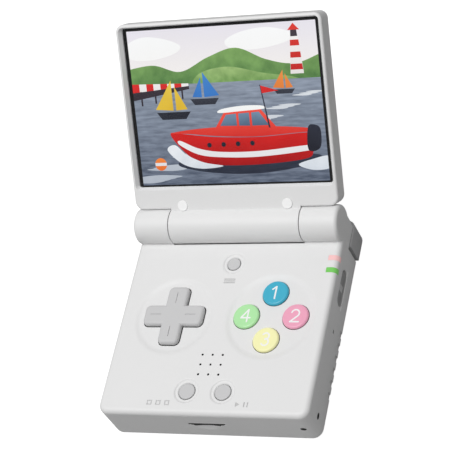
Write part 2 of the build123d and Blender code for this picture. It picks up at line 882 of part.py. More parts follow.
# ================================================================ front card socket and card
with BuildPart() as card_socket:
    socket_front = front + side_wall + board_margin
    with Locations((0, socket_front, board_bottom)):
        Box(socket_width, socket_depth, socket_height, align=(Align.CENTER, Align.MIN, Align.MAX))
    with Locations((0, socket_front, slot_z)):
        Box(
            card_width + 2 * card_gap,
            card_length + card_inset + card_gap - side_wall - board_margin,
            card_thickness + 2 * card_gap,
            align=(Align.CENTER, Align.MIN, Align.CENTER),
            mode=Mode.SUBTRACT,
        )
save(card_socket, "card_socket")

with BuildPart() as memory_card:
    with Locations((0, front + card_inset, slot_z)):
        Box(card_width, card_length, card_thickness, align=(Align.CENTER, Align.MIN, Align.CENTER))
    fillet(memory_card.edges().filter_by(Axis.Z), card_thickness / 2)
save(memory_card, "memory_card")

# ================================================================ rear and left sockets
port_mouth = back - port_set_back
rear_port_plane = Plane(origin=(0, port_mouth, port_z), x_dir=(1, 0, 0), z_dir=(0, -1, 0))

with BuildPart() as charging_port:
    with BuildSketch(rear_port_plane):
        with Locations((usb_x, 0)):
            RectangleRounded(usb_width, usb_height, usb_height / 2 - fit_gap)
    extrude(amount=usb_depth)
    with BuildSketch(rear_port_plane):
        with Locations((usb_x, 0)):
            RectangleRounded(
                usb_width - 2 * port_wall,
                usb_height - 2 * port_wall,
                usb_height / 2 - port_wall - fit_gap,
            )
    extrude(amount=usb_depth - port_wall, mode=Mode.SUBTRACT)
    with Locations((usb_x, port_mouth - usb_depth + port_wall, port_z)):
        Box(
            usb_width - 2 * port_tongue - 2 * port_wall,
            usb_depth - 2 * port_tongue,
            port_tongue,
            align=(Align.CENTER, Align.MIN, Align.CENTER),
        )
save(charging_port, "charging_port")

with BuildPart() as video_port:
    with BuildSketch(rear_port_plane):
        with Locations((video_x, 0)):
            Rectangle(video_width, video_height)
    extrude(amount=video_depth)
    chamfer(video_port.edges().filter_by(Axis.Y).group_by(Axis.Z)[0], port_tongue)
    with BuildSketch(rear_port_plane) as video_mouth:
        with Locations((video_x, 0)):
            Rectangle(video_width - 2 * port_wall, video_height - 2 * port_wall)
        chamfer(video_mouth.vertices().group_by(Axis.Z)[0], port_tongue)
    extrude(amount=video_depth - port_wall, mode=Mode.SUBTRACT)
    with Locations((video_x, port_mouth - video_depth + port_wall, port_z)):
        Box(
            video_width - 4 * port_tongue,
            video_depth - 2 * port_tongue,
            port_tongue,
            align=(Align.CENTER, Align.MIN, Align.CENTER),
        )
save(video_port, "video_port")

with BuildPart() as headphone_jack:
    jack_mouth = -half_width + port_set_back
    jack_inner = -half_width + side_wall + pocket_gap
    with Locations((jack_inner, jack_y, jack_z)):
        Box(
            jack_mouth + jack_length - jack_inner + port_tongue,
            jack_width,
            jack_height,
            align=(Align.MIN, Align.CENTER, Align.CENTER),
        )
    with Locations(Location((jack_mouth, jack_y, jack_z), (0, 90, 0))):
        standing(jack_collar - fit_gap, jack_inner - jack_mouth)
        standing(jack_bore, jack_length, Mode.SUBTRACT)
save(headphone_jack, "headphone_jack")

# ================================================================ tact switches under the board's edges
with BuildPart() as shoulder_switches:
    for switch_x in (-shoulder_switch_x, -trigger_switch_x, trigger_switch_x, shoulder_switch_x):
        with Locations((switch_x, switch_front, board_bottom)):
            Box(
                switch_width,
                switch_rear - switch_front,
                switch_height,
                align=(Align.CENTER, Align.MIN, Align.MAX),
            )
        with Locations(Location((switch_x, switch_rear, board_bottom - switch_height / 2), (-90, 0, 0))):
            standing(plunger_radius, plunger_rear - switch_rear)
save(shoulder_switches, "shoulder_switches")

with BuildPart() as side_switches:
    side_switch_middle = side_switch_x - side_switch_depth / 2
    for switch_y in (rocker_y - side_switch_spacing / 2, rocker_y + side_switch_spacing / 2, pinhole_y):
        on_board(side_switch_middle, switch_y, side_switch_depth, switch_width, switch_height)
    on_board(-side_switch_middle, power_y, side_switch_depth, switch_width, switch_height)
save(side_switches, "side_switches")


# ================================================================ silicone pads with their domes
def dome(x, y, radius, top):
    """One hollow-looking dome on a pad, up to the given height."""
    with Locations((x, y, board_top + pad_thickness)):
        Cone(
            radius,
            dome_taper * radius,
            top - board_top - pad_thickness,
            align=(Align.CENTER, Align.CENTER, Align.MIN),
        )


flange_top = ceiling - flange_gap
flange_bottom = flange_top - flange_thickness
stem_bottom = flange_bottom - stem_below_flange
dpad_flange_top = ceiling - dpad_tilt_room
dpad_flange_bottom = dpad_flange_top - dpad_flange_thickness

with BuildPart() as face_pad:
    with BuildSketch(Plane(origin=(face_x, face_y, board_top))) as face_pad_plan:
        Circle(face_spacing + face_radius)
    extrude(amount=pad_thickness)
    for step_x, step_y, _ in face_places:
        dome(
            face_x + face_spacing * step_x,
            face_y + face_spacing * step_y,
            face_radius - flange_gap,
            stem_bottom - face_travel - dome_gap,
        )
save(face_pad, "face_button_pad")

with BuildPart() as dpad_pad:
    with BuildSketch(Plane(origin=(dpad_x, dpad_y, board_top))):
        Circle(dpad_span / 2 + dpad_flange_lip)
        Circle(pad_hole, mode=Mode.SUBTRACT)
    extrude(amount=pad_thickness)
    for step_x, step_y, _ in face_places:
        dome(
            dpad_x + dpad_dome_spacing * step_x,
            dpad_y + dpad_dome_spacing * step_y,
            dpad_arm / 2,
            dpad_flange_bottom - dpad_tilt_room - dome_gap / 2,
        )
save(dpad_pad, "dpad_pad")

with BuildPart() as menu_pad:
    with BuildSketch(Plane(origin=(0, menu_y, board_top))):
        Circle(menu_radius + flange_lip)
    extrude(amount=pad_thickness)
    dome(0, menu_y, menu_radius - flange_gap, stem_bottom - small_travel - dome_gap)
save(menu_pad, "menu_pad")

with BuildPart() as option_pad:
    with BuildSketch(Plane(origin=(0, option_y, board_top))):
        SlotCenterToCenter(2 * option_x, 2 * option_radius)
    extrude(amount=pad_thickness)
    for side in (-1, 1):
        dome(side * option_x, option_y, option_radius - flange_gap, stem_bottom - small_travel - dome_gap)
save(option_pad, "option_pad")

# ================================================================ direction pad
with BuildPart() as dpad_cross:
    with BuildSketch(Plane(origin=(dpad_x, dpad_y, dpad_flange_bottom))) as flange_plan:
        cross_outline(dpad_hole_gap + dpad_flange_lip)
    extrude(amount=dpad_flange_thickness)
    with BuildSketch(Plane(origin=(dpad_x, dpad_y, dpad_flange_bottom))) as cross_plan:
        cross_outline(0)
        cross_tips = cross_plan.vertices().filter_by(lambda v: abs(v.X) + abs(v.Y) > dpad_span / 2)
        fillet(cross_tips, dpad_corner)
    extrude(amount=case_height + dpad_rise - dpad_flange_bottom)
    fillet(dpad_cross.faces().sort_by(Axis.Z)[-1].edges(), dpad_edge)
    with BuildSketch(Plane(origin=(dpad_x, dpad_y, case_height + dpad_rise))):
        with PolarLocations(dpad_mark_centre, 4):
            Rectangle(dpad_mark_length, dpad_mark_width)
    extrude(amount=-dpad_mark_width, mode=Mode.SUBTRACT)
save(dpad_cross, "dpad_cross")

with BuildPart() as dpad_pivot:
    with Locations((dpad_x, dpad_y, board_top + flange_gap)):
        standing(pivot_radius, dpad_flange_bottom - board_top - 2 * flange_gap)
    fillet(dpad_pivot.edges().group_by(Axis.Z)[0], pivot_radius / 2)
save(dpad_pivot, "dpad_pivot")


# ================================================================ round buttons
def round_button(x, y, radius, top, edge):
    """A round button with its retaining flange and short stem."""
    with BuildPart() as button:
        with Locations((x, y, stem_bottom)):
            standing(radius, top - stem_bottom)
        fillet(button.edges().group_by(Axis.Z)[-1], edge)
        with Locations((x, y, flange_bottom)):
            standing(radius + flange_lip, flange_thickness)
    return button


for step_x, step_y, place in face_places:
    face_button = round_button(
        face_x + face_spacing * step_x,
        face_y + face_spacing * step_y,
        face_radius,
        case_height + face_rise,
        face_edge,
    )
    save(face_button, f"face_button_{place}")

small_top = case_height - small_drop
menu_button = round_button(0, menu_y, menu_radius, small_top, small_edge)
save(menu_button, "menu_button")
select_button = round_button(-option_x, option_y, option_radius, small_top, small_edge)
save(select_button, "select_button")
start_button = round_button(option_x, option_y, option_radius, small_top, small_edge)
save(start_button, "start_button")

# ================================================================ shoulder buttons and triggers
tongue_rear = back - side_wall - shoulder_gap

with BuildPart() as right_shoulder:
    add(shoulder_body(0, 0))
    tongue_x = (shoulder_inner + half_width) / 2 - shoulder_side_thickness
    with Locations((tongue_x, shoulder_slab, shoulder_top - shoulder_edge)):
        Box(
            half_width - shoulder_inner - 4 * shoulder_side_thickness,
            tongue_rear - shoulder_slab,
            tongue_height + shoulder_edge,
            align=(Align.CENTER, Align.MIN, Align.MIN),
        )
save(right_shoulder, "right_shoulder_button")

with BuildPart() as left_shoulder:
    mirror(right_shoulder.part, about=Plane.YZ)
save(left_shoulder, "left_shoulder_button")

with BuildPart() as right_trigger:
    add(trigger_body(0, 0))
    with Locations(((trigger_inner + trigger_outer) / 2, shoulder_slab, trigger_top)):
        Box(
            trigger_outer - trigger_inner,
            tongue_rear - shoulder_slab,
            tongue_height,
            align=(Align.CENTER, Align.MIN, Align.MIN),
        )
save(right_trigger, "right_trigger")

with BuildPart() as left_trigger:
    mirror(right_trigger.part, about=Plane.YZ)
save(left_trigger, "left_trigger")

# ================================================================ volume rocker and power key
with BuildPart() as volume_rocker:
    with BuildSketch(Plane(origin=(key_inner_x, rocker_y, rocker_z), x_dir=(0, 1, 0), z_dir=(1, 0, 0))):
        SlotOverall(rocker_length, rocker_height)
    extrude(amount=half_width - rocker_recess - key_inner_x)
    with BuildSketch(Plane(origin=(key_inner_x, rocker_y, rocker_z), x_dir=(0, 1, 0), z_dir=(1, 0, 0))):
        SlotOverall(rocker_length + 2 * key_flange_lip, rocker_height + 2 * key_flange_lip)
    extrude(amount=key_flange)
    # a thumb hollow at each end leaves a ridge in the middle
    with Locations((half_width - rocker_recess + rocker_hollow_rise, rocker_y, rocker_z)):
        with GridLocations(0, rocker_length / 2, 1, 2):
            Sphere(rocker_hollow, mode=Mode.SUBTRACT)
save(volume_rocker, "volume_rocker")

with BuildPart() as power_key:
    with BuildSketch(Plane(origin=(-key_inner_x, power_y, power_z), x_dir=(0, -1, 0), z_dir=(-1, 0, 0))):
        SlotOverall(power_length, power_height)
    extrude(amount=half_width + power_proud - key_inner_x)
    fillet(power_key.faces().sort_by(Axis.X)[0].edges(), small_edge)
    with BuildSketch(Plane(origin=(-key_inner_x, power_y, power_z), x_dir=(0, -1, 0), z_dir=(-1, 0, 0))):
        SlotOverall(power_length + 2 * key_flange_lip, power_height + 2 * key_flange_lip)
    extrude(amount=key_flange)
save(power_key, "power_key")

# ================================================================ screws of the base
with BuildPart() as case_fasteners:
    for x, y in case_screws:
        with Locations((x, y, screw_sink)):
            standing(screw_head, screw_head_height)
            standing(screw_radius, screw_length)
            Box(2 * screw_radius, screw_slot, screw_head_height, mode=Mode.SUBTRACT)
            Box(screw_slot, 2 * screw_radius, screw_head_height, mode=Mode.SUBTRACT)
save(case_fasteners, "case_screws")


# ================================================================ outer form of the lid
def lid_box(low_x, high_x, low_v, high_v, low_n, high_n, mode=Mode.ADD):
    """A box in the lid's plane, between limits across, along the lid and out of the screen."""
    with Locations(lid_plane.offset(low_n) * Location((low_x, low_v, 0))):
        corner = (Align.MIN, Align.MIN, Align.MIN)
        Box(high_x - low_x, high_v - low_v, high_n - low_n, align=corner, mode=mode)


with BuildPart() as lid_form:
    with BuildSketch(lid_plane.offset(lid_back)) as lid_plan:
        with Locations((0, lid_foot)):
            Rectangle(case_width, lid_reach - lid_foot, align=(Align.CENTER, Align.MIN))
        fillet(lid_plan.vertices().group_by(Axis.Y)[-1], lid_top_corner)
        fillet(lid_plan.vertices().group_by(Axis.Y)[0], lid_bottom_corner)
    extrude(amount=lid_thickness)
    lid_axis = Axis((0, axis_y, axis_z), tuple(lid_plane.z_dir))
    fillet(lid_form.faces().sort_by(lid_axis)[-1].edges(), lid_front_edge)
    fillet(lid_form.faces().sort_by(lid_axis)[0].edges(), lid_back_edge)
    # room to turn round the knuckles
    with Locations(Location((0, axis_y, axis_z), (0, 90, 0))):
        Cylinder(trough_radius, 2 * case_width, mode=Mode.SUBTRACT)
    # web down to the centre barrel
    lid_box(-barrel_half, barrel_half, 0, lid_foot + lid_bottom_corner, lid_back, lid_face_offset)
    with Locations(Location((0, axis_y, axis_z), (0, 90, 0))):
        Cylinder(barrel_radius, 2 * barrel_half)

lid_split_plane = lid_plane.offset(lid_split)


def lid_cylinder(low_x, high_x, radius, mode=Mode.SUBTRACT):
    """A cylinder on the hinge axis between two places across."""
    with Locations(Location((low_x, axis_y, axis_z), (0, 90, 0))):
        Cylinder(radius, high_x - low_x, align=(Align.CENTER, Align.CENTER, Align.MIN), mode=mode)


# ================================================================ lid, front shell with the centre barrel
with BuildPart() as lid_bezel:
    add(lid_form.part)
    split(bisect_by=lid_split_plane, keep=Keep.TOP)
    lid_cylinder(-barrel_half, barrel_half, barrel_radius, Mode.ADD)
    # recess that keeps the closed lid clear of the buttons
    with BuildSketch(lid_plane.offset(lens_face)):
        with Locations((0, (lens_bottom + lens_top) / 2)):
            RectangleRounded(2 * lens_half_width, lens_top - lens_bottom, lens_corner)
    with BuildSketch(lid_plane.offset(lid_face_offset)):
        with Locations((0, (recess_bottom + recess_top) / 2)):
            RectangleRounded(2 * recess_half_width, recess_top - recess_bottom, 2 * lens_corner)
    loft(mode=Mode.SUBTRACT)
    # seat of the lens and of the gasket under it
    with BuildSketch(lid_plane.offset(lens_face)):
        with Locations((0, (lens_bottom + lens_top) / 2)):
            RectangleRounded(2 * lens_half_width, lens_top - lens_bottom, lens_corner)
    extrude(amount=display_face - lens_face, mode=Mode.SUBTRACT)
    # pocket for the display, which reaches down behind the chin
    lid_box(
        -display_half_width - pocket_gap,
        display_half_width + pocket_gap,
        display_bottom - pocket_gap,
        display_top + pocket_gap,
        lid_split - fit_gap,
        display_face,
        Mode.SUBTRACT,
    )
    # barrel bores: bush wall on the left, cable space, click unit on the right
    lid_cylinder(-barrel_half - fit_gap, -barrel_half + barrel_end_wall + fit_gap, bush_radius + running_gap)
    lid_cylinder(-barrel_half + barrel_end_wall, unit_start - barrel_end_wall, barrel_bore)
    lid_cylinder(unit_start, barrel_half + fit_gap, unit_radius + fit_gap)
    # way for the display's cable
    lid_box(
        flex_x - flex_width / 2 - pocket_gap,
        flex_x + flex_width / 2 + pocket_gap,
        flex_roll,
        display_bottom,
        -flex_roll - flex_slot / 2,
        -flex_roll + flex_slot / 2,
        Mode.SUBTRACT,
    )
    for side in (-1, 1):
        # bumper seats with the lid screws under them
        with Locations(lid_plane.offset(lid_face_offset) * Location((side * bumper_x, bumper_v, 0))):
            hanging(bumper_radius + fit_gap, bumper_seat, Mode.SUBTRACT)
            standing(bumper_radius + fit_gap, 2 * bumper_rise, Mode.SUBTRACT)
            hanging(screw_head + fit_gap, bumper_seat + screw_head_height, Mode.SUBTRACT)
            Cylinder(screw_hole, 3 * bezel_thickness, mode=Mode.SUBTRACT)
    # blind seat of the closing magnet
    with Locations(lid_plane.offset(lid_split) * Location((magnet_x, magnet_v, 0))):
        standing(magnet_radius + fit_gap, bezel_thickness - side_wall, Mode.SUBTRACT)
save(lid_bezel, "lid_bezel")

# ================================================================ lid, back cover
with BuildPart() as lid_back_cover:
    add(lid_form.part)
    split(bisect_by=lid_split_plane, keep=Keep.BOTTOM)
    with Locations(Location((0, axis_y, axis_z), (0, 90, 0))):
        Cylinder(barrel_radius + fit_gap, case_width, mode=Mode.SUBTRACT)
    with BuildSketch(lid_plane.offset(lid_inside)) as lid_room:
        with Locations((0, lid_foot + lid_wall + boss_radius)):
            Rectangle(
                case_width - 2 * lid_wall,
                lid_reach - lid_foot - 2 * lid_wall - boss_radius,
                align=(Align.CENTER, Align.MIN),
            )
        fillet(lid_room.vertices(), lid_top_corner - lid_wall)
    extrude(amount=lid_thickness, mode=Mode.SUBTRACT)
    for side in (-1, 1):
        with Locations(lid_split_plane * Location((side * bumper_x, bumper_v, 0))):
            hanging(screw_hole, lid_split - lid_inside, Mode.SUBTRACT)
save(lid_back_cover, "lid_back_cover")

# ================================================================ screen stack
def lens_outline():
    """Outline that the lens and its gasket share."""
    with Locations((0, (lens_bottom + lens_top) / 2)):
        RectangleRounded(
            2 * (lens_half_width - fit_gap),
            lens_top - lens_bottom - 2 * fit_gap,
            lens_corner,
        )


with BuildPart() as screen_lens:
    with BuildSketch(lid_plane.offset(lens_rear)):
        lens_outline()
    extrude(amount=lens_thickness)
save(screen_lens, "screen_lens")

with BuildPart() as screen_gasket:
    with BuildSketch(lid_plane.offset(display_face)):
        lens_outline()
    extrude(amount=gasket_thickness)
    lid_box(
        -picture_half_width,
        picture_half_width,
        picture_bottom,
        picture_top,
        display_face - fit_gap,
        lens_rear + fit_gap,
        Mode.SUBTRACT,
    )
save(screen_gasket, "screen_gasket")

with BuildPart() as display_panel:
    lid_box(-display_half_width, display_half_width, display_bottom, display_top, display_rear, display_face)
save(display_panel, "display_panel")

with BuildPart() as display_backlight:
    lid_box(
        -display_half_width,
        display_half_width,
        display_bottom,
        display_top,
        backlight_rear,
        display_rear,
    )
save(display_backlight, "display_backlight")

with BuildPart() as display_foam:
    for side in (-1, 1):
        foam_x = side * (display_half_width - foam_inset)
        lid_box(
            foam_x - foam_width / 2,
            foam_x + foam_width / 2,
            display_bottom + foam_inset,
            display_top - foam_inset,
            lid_inside,
            backlight_rear,
        )
save(display_foam, "display_foam")

# ================================================================ small pieces of the lid
bumper_floor = lid_plane.offset(lid_face_offset - bumper_seat)

with BuildPart() as lid_bumpers:
    for side in (-1, 1):
        with Locations(bumper_floor * Location((side * bumper_x, bumper_v, 0))):
            standing(bumper_radius, bumper_seat + bumper_rise)
    fillet(lid_bumpers.edges().group_by(lid_axis)[-1], bumper_edge)
save(lid_bumpers, "lid_bumpers")

with BuildPart() as lid_fasteners:
    for side in (-1, 1):
        with Locations(bumper_floor * Location((side * bumper_x, bumper_v, 0))):
            hanging(screw_head, screw_head_height)
            hanging(screw_radius, lid_face_offset - bumper_seat - lid_inside - head_room)
save(lid_fasteners, "lid_screws")

with BuildPart() as lid_magnet:
    with Locations(lid_plane.offset(lid_face_offset - side_wall) * Location((magnet_x, magnet_v, 0))):
        hanging(magnet_radius, magnet_thickness)
save(lid_magnet, "lid_magnet")

# ================================================================ hinge pieces
with BuildPart() as hinge_bush:
    lid_cylinder(-bush_end, -bush_start, bush_radius, Mode.ADD)
    lid_cylinder(-bush_end - fit_gap, -bush_start + fit_gap, bush_bore)
save(hinge_bush, "hinge_bush")

with BuildPart() as hinge_unit:
    lid_cylinder(unit_start, barrel_half, unit_radius, Mode.ADD)
    lid_cylinder(unit_start + side_wall, unit_bore_start, unit_radius - spring_wall)
    lid_cylinder(unit_bore_start - fit_gap, barrel_half + fit_gap, shaft_radius + running_gap)
save(hinge_unit, "hinge_click_unit")

with BuildPart() as hinge_shaft:
    lid_cylinder(shaft_start, shaft_end, shaft_radius, Mode.ADD)
save(hinge_shaft, "hinge_shaft")

with BuildPart() as hinge_spring:
    spring_radius = unit_radius - spring_wall - pocket_gap
    lid_cylinder(unit_start + side_wall + pocket_gap, unit_bore_start - pocket_gap, spring_radius, Mode.ADD)
    lid_cylinder(unit_start, unit_bore_start, spring_radius - spring_wall)
save(hinge_spring, "hinge_click_spring")

# ================================================================ display cable, one half on each body
with BuildPart() as display_cable:
    lid_box(
        flex_x - flex_width / 2,
        flex_x + flex_width / 2,
        flex_thickness,
        display_bottom,
        -flex_roll - flex_thickness,
        -flex_roll + flex_thickness,
    )
    lid_cylinder(flex_x - flex_width / 2, flex_x + flex_width / 2, flex_roll, Mode.ADD)
    lid_cylinder(-shaft_end + 3 * pocket_gap, flex_x, bush_bore - 2 * pocket_gap, Mode.ADD)
    lid_cylinder(-shaft_end, flex_x + flex_width, flex_roll - 2 * flex_thickness)
save(display_cable, "display_cable_lid_half")

with BuildPart() as board_cable:
    with Locations((-shaft_end + pocket_gap, axis_y, board_top)):
        Box(
            flex_thickness,
            2 * base_flex_width,
            axis_z + base_flex_width - board_top,
            align=(Align.MIN, Align.CENTER, Align.MIN),
        )
save(board_cable, "display_cable_base_half")
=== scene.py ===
"""Looks of the clamshell game console: finishes, numbers, the picture on the screen, light and camera."""
import json
import math

import bpy
from mathutils import Matrix, Vector
from mathutils.geometry import tessellate_polygon


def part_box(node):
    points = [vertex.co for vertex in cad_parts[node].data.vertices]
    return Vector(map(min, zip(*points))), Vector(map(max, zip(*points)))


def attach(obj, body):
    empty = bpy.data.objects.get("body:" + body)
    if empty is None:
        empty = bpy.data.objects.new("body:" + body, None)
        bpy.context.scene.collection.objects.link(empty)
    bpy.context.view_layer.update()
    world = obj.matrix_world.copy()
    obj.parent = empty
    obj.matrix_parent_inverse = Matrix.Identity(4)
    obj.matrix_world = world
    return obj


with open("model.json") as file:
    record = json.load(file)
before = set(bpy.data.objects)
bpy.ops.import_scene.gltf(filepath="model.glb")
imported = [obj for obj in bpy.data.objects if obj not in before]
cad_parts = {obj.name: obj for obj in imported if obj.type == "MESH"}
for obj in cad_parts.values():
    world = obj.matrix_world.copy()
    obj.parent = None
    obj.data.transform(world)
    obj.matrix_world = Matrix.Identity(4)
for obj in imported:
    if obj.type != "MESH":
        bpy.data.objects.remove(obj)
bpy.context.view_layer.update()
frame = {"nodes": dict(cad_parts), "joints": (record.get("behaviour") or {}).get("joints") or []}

MM = 0.001
NODES = frame["nodes"]


# ---------------------------------------------------------------- places in the part, in millimetres
def node_middle(name):
    """Middle of a part's box."""
    low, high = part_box(name)
    return [(a + b) / 2 / MM for a, b in zip(low, high)]


FRONT_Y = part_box("base_top_shell")[0].y / MM
BACK_Y = -FRONT_Y
HALF_WIDTH = -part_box("base_top_shell")[0].x / MM
FACE_X = node_middle("face_button_back")[0]
FACE_Y = node_middle("face_button_left")[1]
FACE_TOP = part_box("face_button_back")[1].z / MM
DPAD_X, DPAD_Y = node_middle("dpad_cross")[:2]
ROCKER_Y, ROCKER_Z = node_middle("volume_rocker")[1:]
SLOT_Z = node_middle("memory_card")[2]
DISH_FLOOR = 18.1  # floor of the two round dishes
SIGN_FLOOR = 18.59  # floor of the engraved signs

# the lid's hinge axis, and the lid's lean as photographed: closed, it lies turned over on the base
HINGE = next(joint for joint in frame["joints"] if joint["name"] == "lid_hinge")
AXIS_Y, AXIS_Z = (c / MM for c in HINGE["pos_m"][1:])
LEAN = math.radians(180 + HINGE["range_deg"][0])
UP_LID = (0.0, math.cos(LEAN), math.sin(LEAN))

# the picture, up the lid from the hinge axis and out from it
PICTURE_BOTTOM = 16.4
PICTURE_HEIGHT = 60.7
PICTURE_HALF = 39.15
DISPLAY_FACE = -0.25


def lid_point(x, v, n):
    """A point across, up the lid and out of the screen, from the hinge axis, as a place in metres."""
    y = AXIS_Y + v * math.cos(LEAN) - n * math.sin(LEAN)
    z = AXIS_Z + v * math.sin(LEAN) + n * math.cos(LEAN)
    return Vector((x * MM, y * MM, z * MM))


# ---------------------------------------------------------------- colours and shader nodes
def srgb(*rgb):
    """Linear colour of an 8-bit sRGB one."""
    linear = []
    for c in rgb:
        c = c / 255.0
        linear.append(c / 12.92 if c <= 0.04045 else ((c + 0.055) / 1.055) ** 2.4)
    return (*linear, 1.0)


def grey(value):
    """Neutral linear colour."""
    return (value, value, value, 1.0)


def scaled(color, factor):
    """A colour made darker or lighter."""
    return (*(min(1.0, c * factor) for c in color[:3]), 1.0)


def start_material(name):
    """An empty material with its output and texture coordinates."""
    material = bpy.data.materials.new(name)
    material.use_nodes = True
    tree = material.node_tree
    tree.nodes.clear()
    output = tree.nodes.new("ShaderNodeOutputMaterial")
    coords = tree.nodes.new("ShaderNodeTexCoord")
    return material, tree, output, coords


def noise(tree, coords, scale, detail=2.0, stretch=(1, 1, 1)):
    """Noise on the object's own coordinates; scale is in cells per metre."""
    mapping = tree.nodes.new("ShaderNodeMapping")
    mapping.inputs["Scale"].default_value = stretch
    tree.links.new(coords.outputs["Object"], mapping.inputs["Vector"])
    node = tree.nodes.new("ShaderNodeTexNoise")
    node.inputs["Scale"].default_value = scale
    node.inputs["Detail"].default_value = detail
    tree.links.new(mapping.outputs["Vector"], node.inputs["Vector"])
    return node.outputs["Fac"]


def spread(tree, value, low, high, from_low=0.3, from_high=0.7):
    """Map a value from one range to another, clamped; noise mostly lies between 0.3 and 0.7."""
    node = tree.nodes.new("ShaderNodeMapRange")
    node.inputs["From Min"].default_value = from_low
    node.inputs["From Max"].default_value = from_high
    node.inputs["To Min"].default_value = low
    node.inputs["To Max"].default_value = high
    tree.links.new(value, node.inputs["Value"])
    return node.outputs["Result"]


def set_or_link(tree, socket, value):
    """Give a socket a fixed value or another node's output."""
    if isinstance(value, bpy.types.NodeSocket):
        tree.links.new(value, socket)
    else:
        socket.default_value = value


def mix_colors(tree, factor, first, second):
    """Blend two colours, fixed or linked, by a factor."""
    node = tree.nodes.new("ShaderNodeMix")
    node.data_type = "RGBA"
    set_or_link(tree, node.inputs["Factor"], factor)
    set_or_link(tree, node.inputs[6], first)
    set_or_link(tree, node.inputs[7], second)
    return node.outputs[2]


def math_node(tree, operation, first, second):
    """Sum, comparison or the like of an output and a value or output."""
    node = tree.nodes.new("ShaderNodeMath")
    node.operation = operation
    tree.links.new(first, node.inputs[0])
    set_or_link(tree, node.inputs[1], second)
    return node.outputs[0]


def vector_node(tree, operation, first, second=None):
    """Vector operation on an output and, where it takes one, a fixed vector."""
    node = tree.nodes.new("ShaderNodeVectorMath")
    node.operation = operation
    tree.links.new(first, node.inputs[0])
    if second is not None:
        node.inputs[1].default_value = second
    return node


def shade_box(tree, coords, tone, middle, half, value):
    """Give the surface inside a box another grey, for painted shade, a painted highlight or a sign's grey;
    middle and half sizes are in millimetres.
    """
    away = vector_node(tree, "SUBTRACT", coords.outputs["Object"], [c * MM for c in middle])
    share = vector_node(tree, "DIVIDE", away.outputs["Vector"], [c * MM for c in half])
    reach = vector_node(tree, "ABSOLUTE", share.outputs["Vector"])
    parts = tree.nodes.new("ShaderNodeSeparateXYZ")
    tree.links.new(reach.outputs["Vector"], parts.inputs[0])
    widest = math_node(tree, "MAXIMUM", parts.outputs[0], parts.outputs[1])
    widest = math_node(tree, "MAXIMUM", widest, parts.outputs[2])
    inside = math_node(tree, "LESS_THAN", widest, 1.0)
    return mix_colors(tree, inside, tone, grey(value))


def shade_bore(tree, coords, tone, middle, way, radius):
    """Paint shade into a round bore along an axis through its middle; lengths are in millimetres."""
    away = vector_node(tree, "SUBTRACT", coords.outputs["Object"], [c * MM for c in middle])
    across = vector_node(tree, "CROSS_PRODUCT", away.outputs["Vector"], way)
    distance = vector_node(tree, "LENGTH", across.outputs["Vector"])
    inside = math_node(tree, "LESS_THAN", distance.outputs["Value"], radius * MM)
    return mix_colors(tree, inside, tone, grey(0.04))


# ---------------------------------------------------------------- finishes
WHITE = grey(0.80)
HOLE_SHADE = 2.1  # half the height of the shade in the holes of the cross pad and the round buttons


def surface(
    name, color, roughness, metallic=0.0, specular=0.5, grain=2600, grain_depth=0.012, mottle=0.03,
    mottle_scale=45, stretch=(1, 1, 1), coat=0.0, through=0.0, boxes=(), bores=(),
):
    """A finish with slow colour variation, uneven gloss and a fine moulded or brushed grain, and other greys
    in the given boxes and bores for painted shade, painted highlight and signs.
    """
    material, tree, output, coords = start_material(name)
    shader = tree.nodes.new("ShaderNodeBsdfPrincipled")
    shader.inputs["Metallic"].default_value = metallic
    shader.inputs["Specular IOR Level"].default_value = specular
    shader.inputs["Coat Weight"].default_value = coat
    shader.inputs["Coat Roughness"].default_value = 0.12
    if through:
        shader.inputs["Subsurface Weight"].default_value = through
        shader.inputs["Subsurface Radius"].default_value = (1.0, 1.0, 1.0)
        shader.inputs["Subsurface Scale"].default_value = 0.8 * MM

    slow = noise(tree, coords, mottle_scale, 3.0)
    tone = mix_colors(tree, slow, scaled(color, 1 - mottle), scaled(color, 1 + mottle))
    for box in boxes:
        tone = shade_box(tree, coords, tone, *box)
    for bore in bores:
        tone = shade_bore(tree, coords, tone, *bore)
    tree.links.new(tone, shader.inputs["Base Color"])

    uneven = noise(tree, coords, grain * 0.22, 3.0, stretch)
    gloss = spread(tree, uneven, roughness - 0.05, roughness + 0.05)
    tree.links.new(gloss, shader.inputs["Roughness"])

    fine = noise(tree, coords, grain, 2.0, stretch)
    bump = tree.nodes.new("ShaderNodeBump")
    bump.inputs["Strength"].default_value = 0.35
    bump.inputs["Distance"].default_value = grain_depth * MM
    tree.links.new(fine, bump.inputs["Height"])
    tree.links.new(bump.outputs["Normal"], shader.inputs["Normal"])
    tree.links.new(shader.outputs["BSDF"], output.inputs["Surface"])
    return material


def shell_plastic(name, color, roughness, **shades):
    """Satin plastic of the shells and the white key."""
    return surface(name, color, roughness, specular=0.35, mottle=0.012, **shades)


def grey_plastic(name, value, roughness, specular, **shades):
    """Satin plastic of the grey controls, a touch cooler than neutral."""
    color = (value, value, value + 0.005, 1.0)
    return surface(name, color, roughness, specular=specular, mottle=0.02, **shades)


def round_button(name, color):
    """Glossy plastic above the dish's floor, and dark shade down in the button's hole."""
    hole = ((FACE_X, FACE_Y, DISH_FLOOR - HOLE_SHADE), (18.0, 18.0, HOLE_SHADE), 0.06)
    return surface(name, color, 0.34, specular=0.45, mottle=0.02, grain_depth=0.006, boxes=[hole])


PINHOLE_Y, PINHOLE_Z = -4.0, 10.2
GRILLE_Y = FRONT_Y + 20.675
MENU_SIGN_Y = BACK_Y - 30.575
OPTION_SIGN_Y = FRONT_Y + 4.475
SELECT_SIGN_X = -17.7
START_SIGN_X = 15.9
# near-black painted shade in the openings of the upper shell
OPENING_SHADE = 0.02
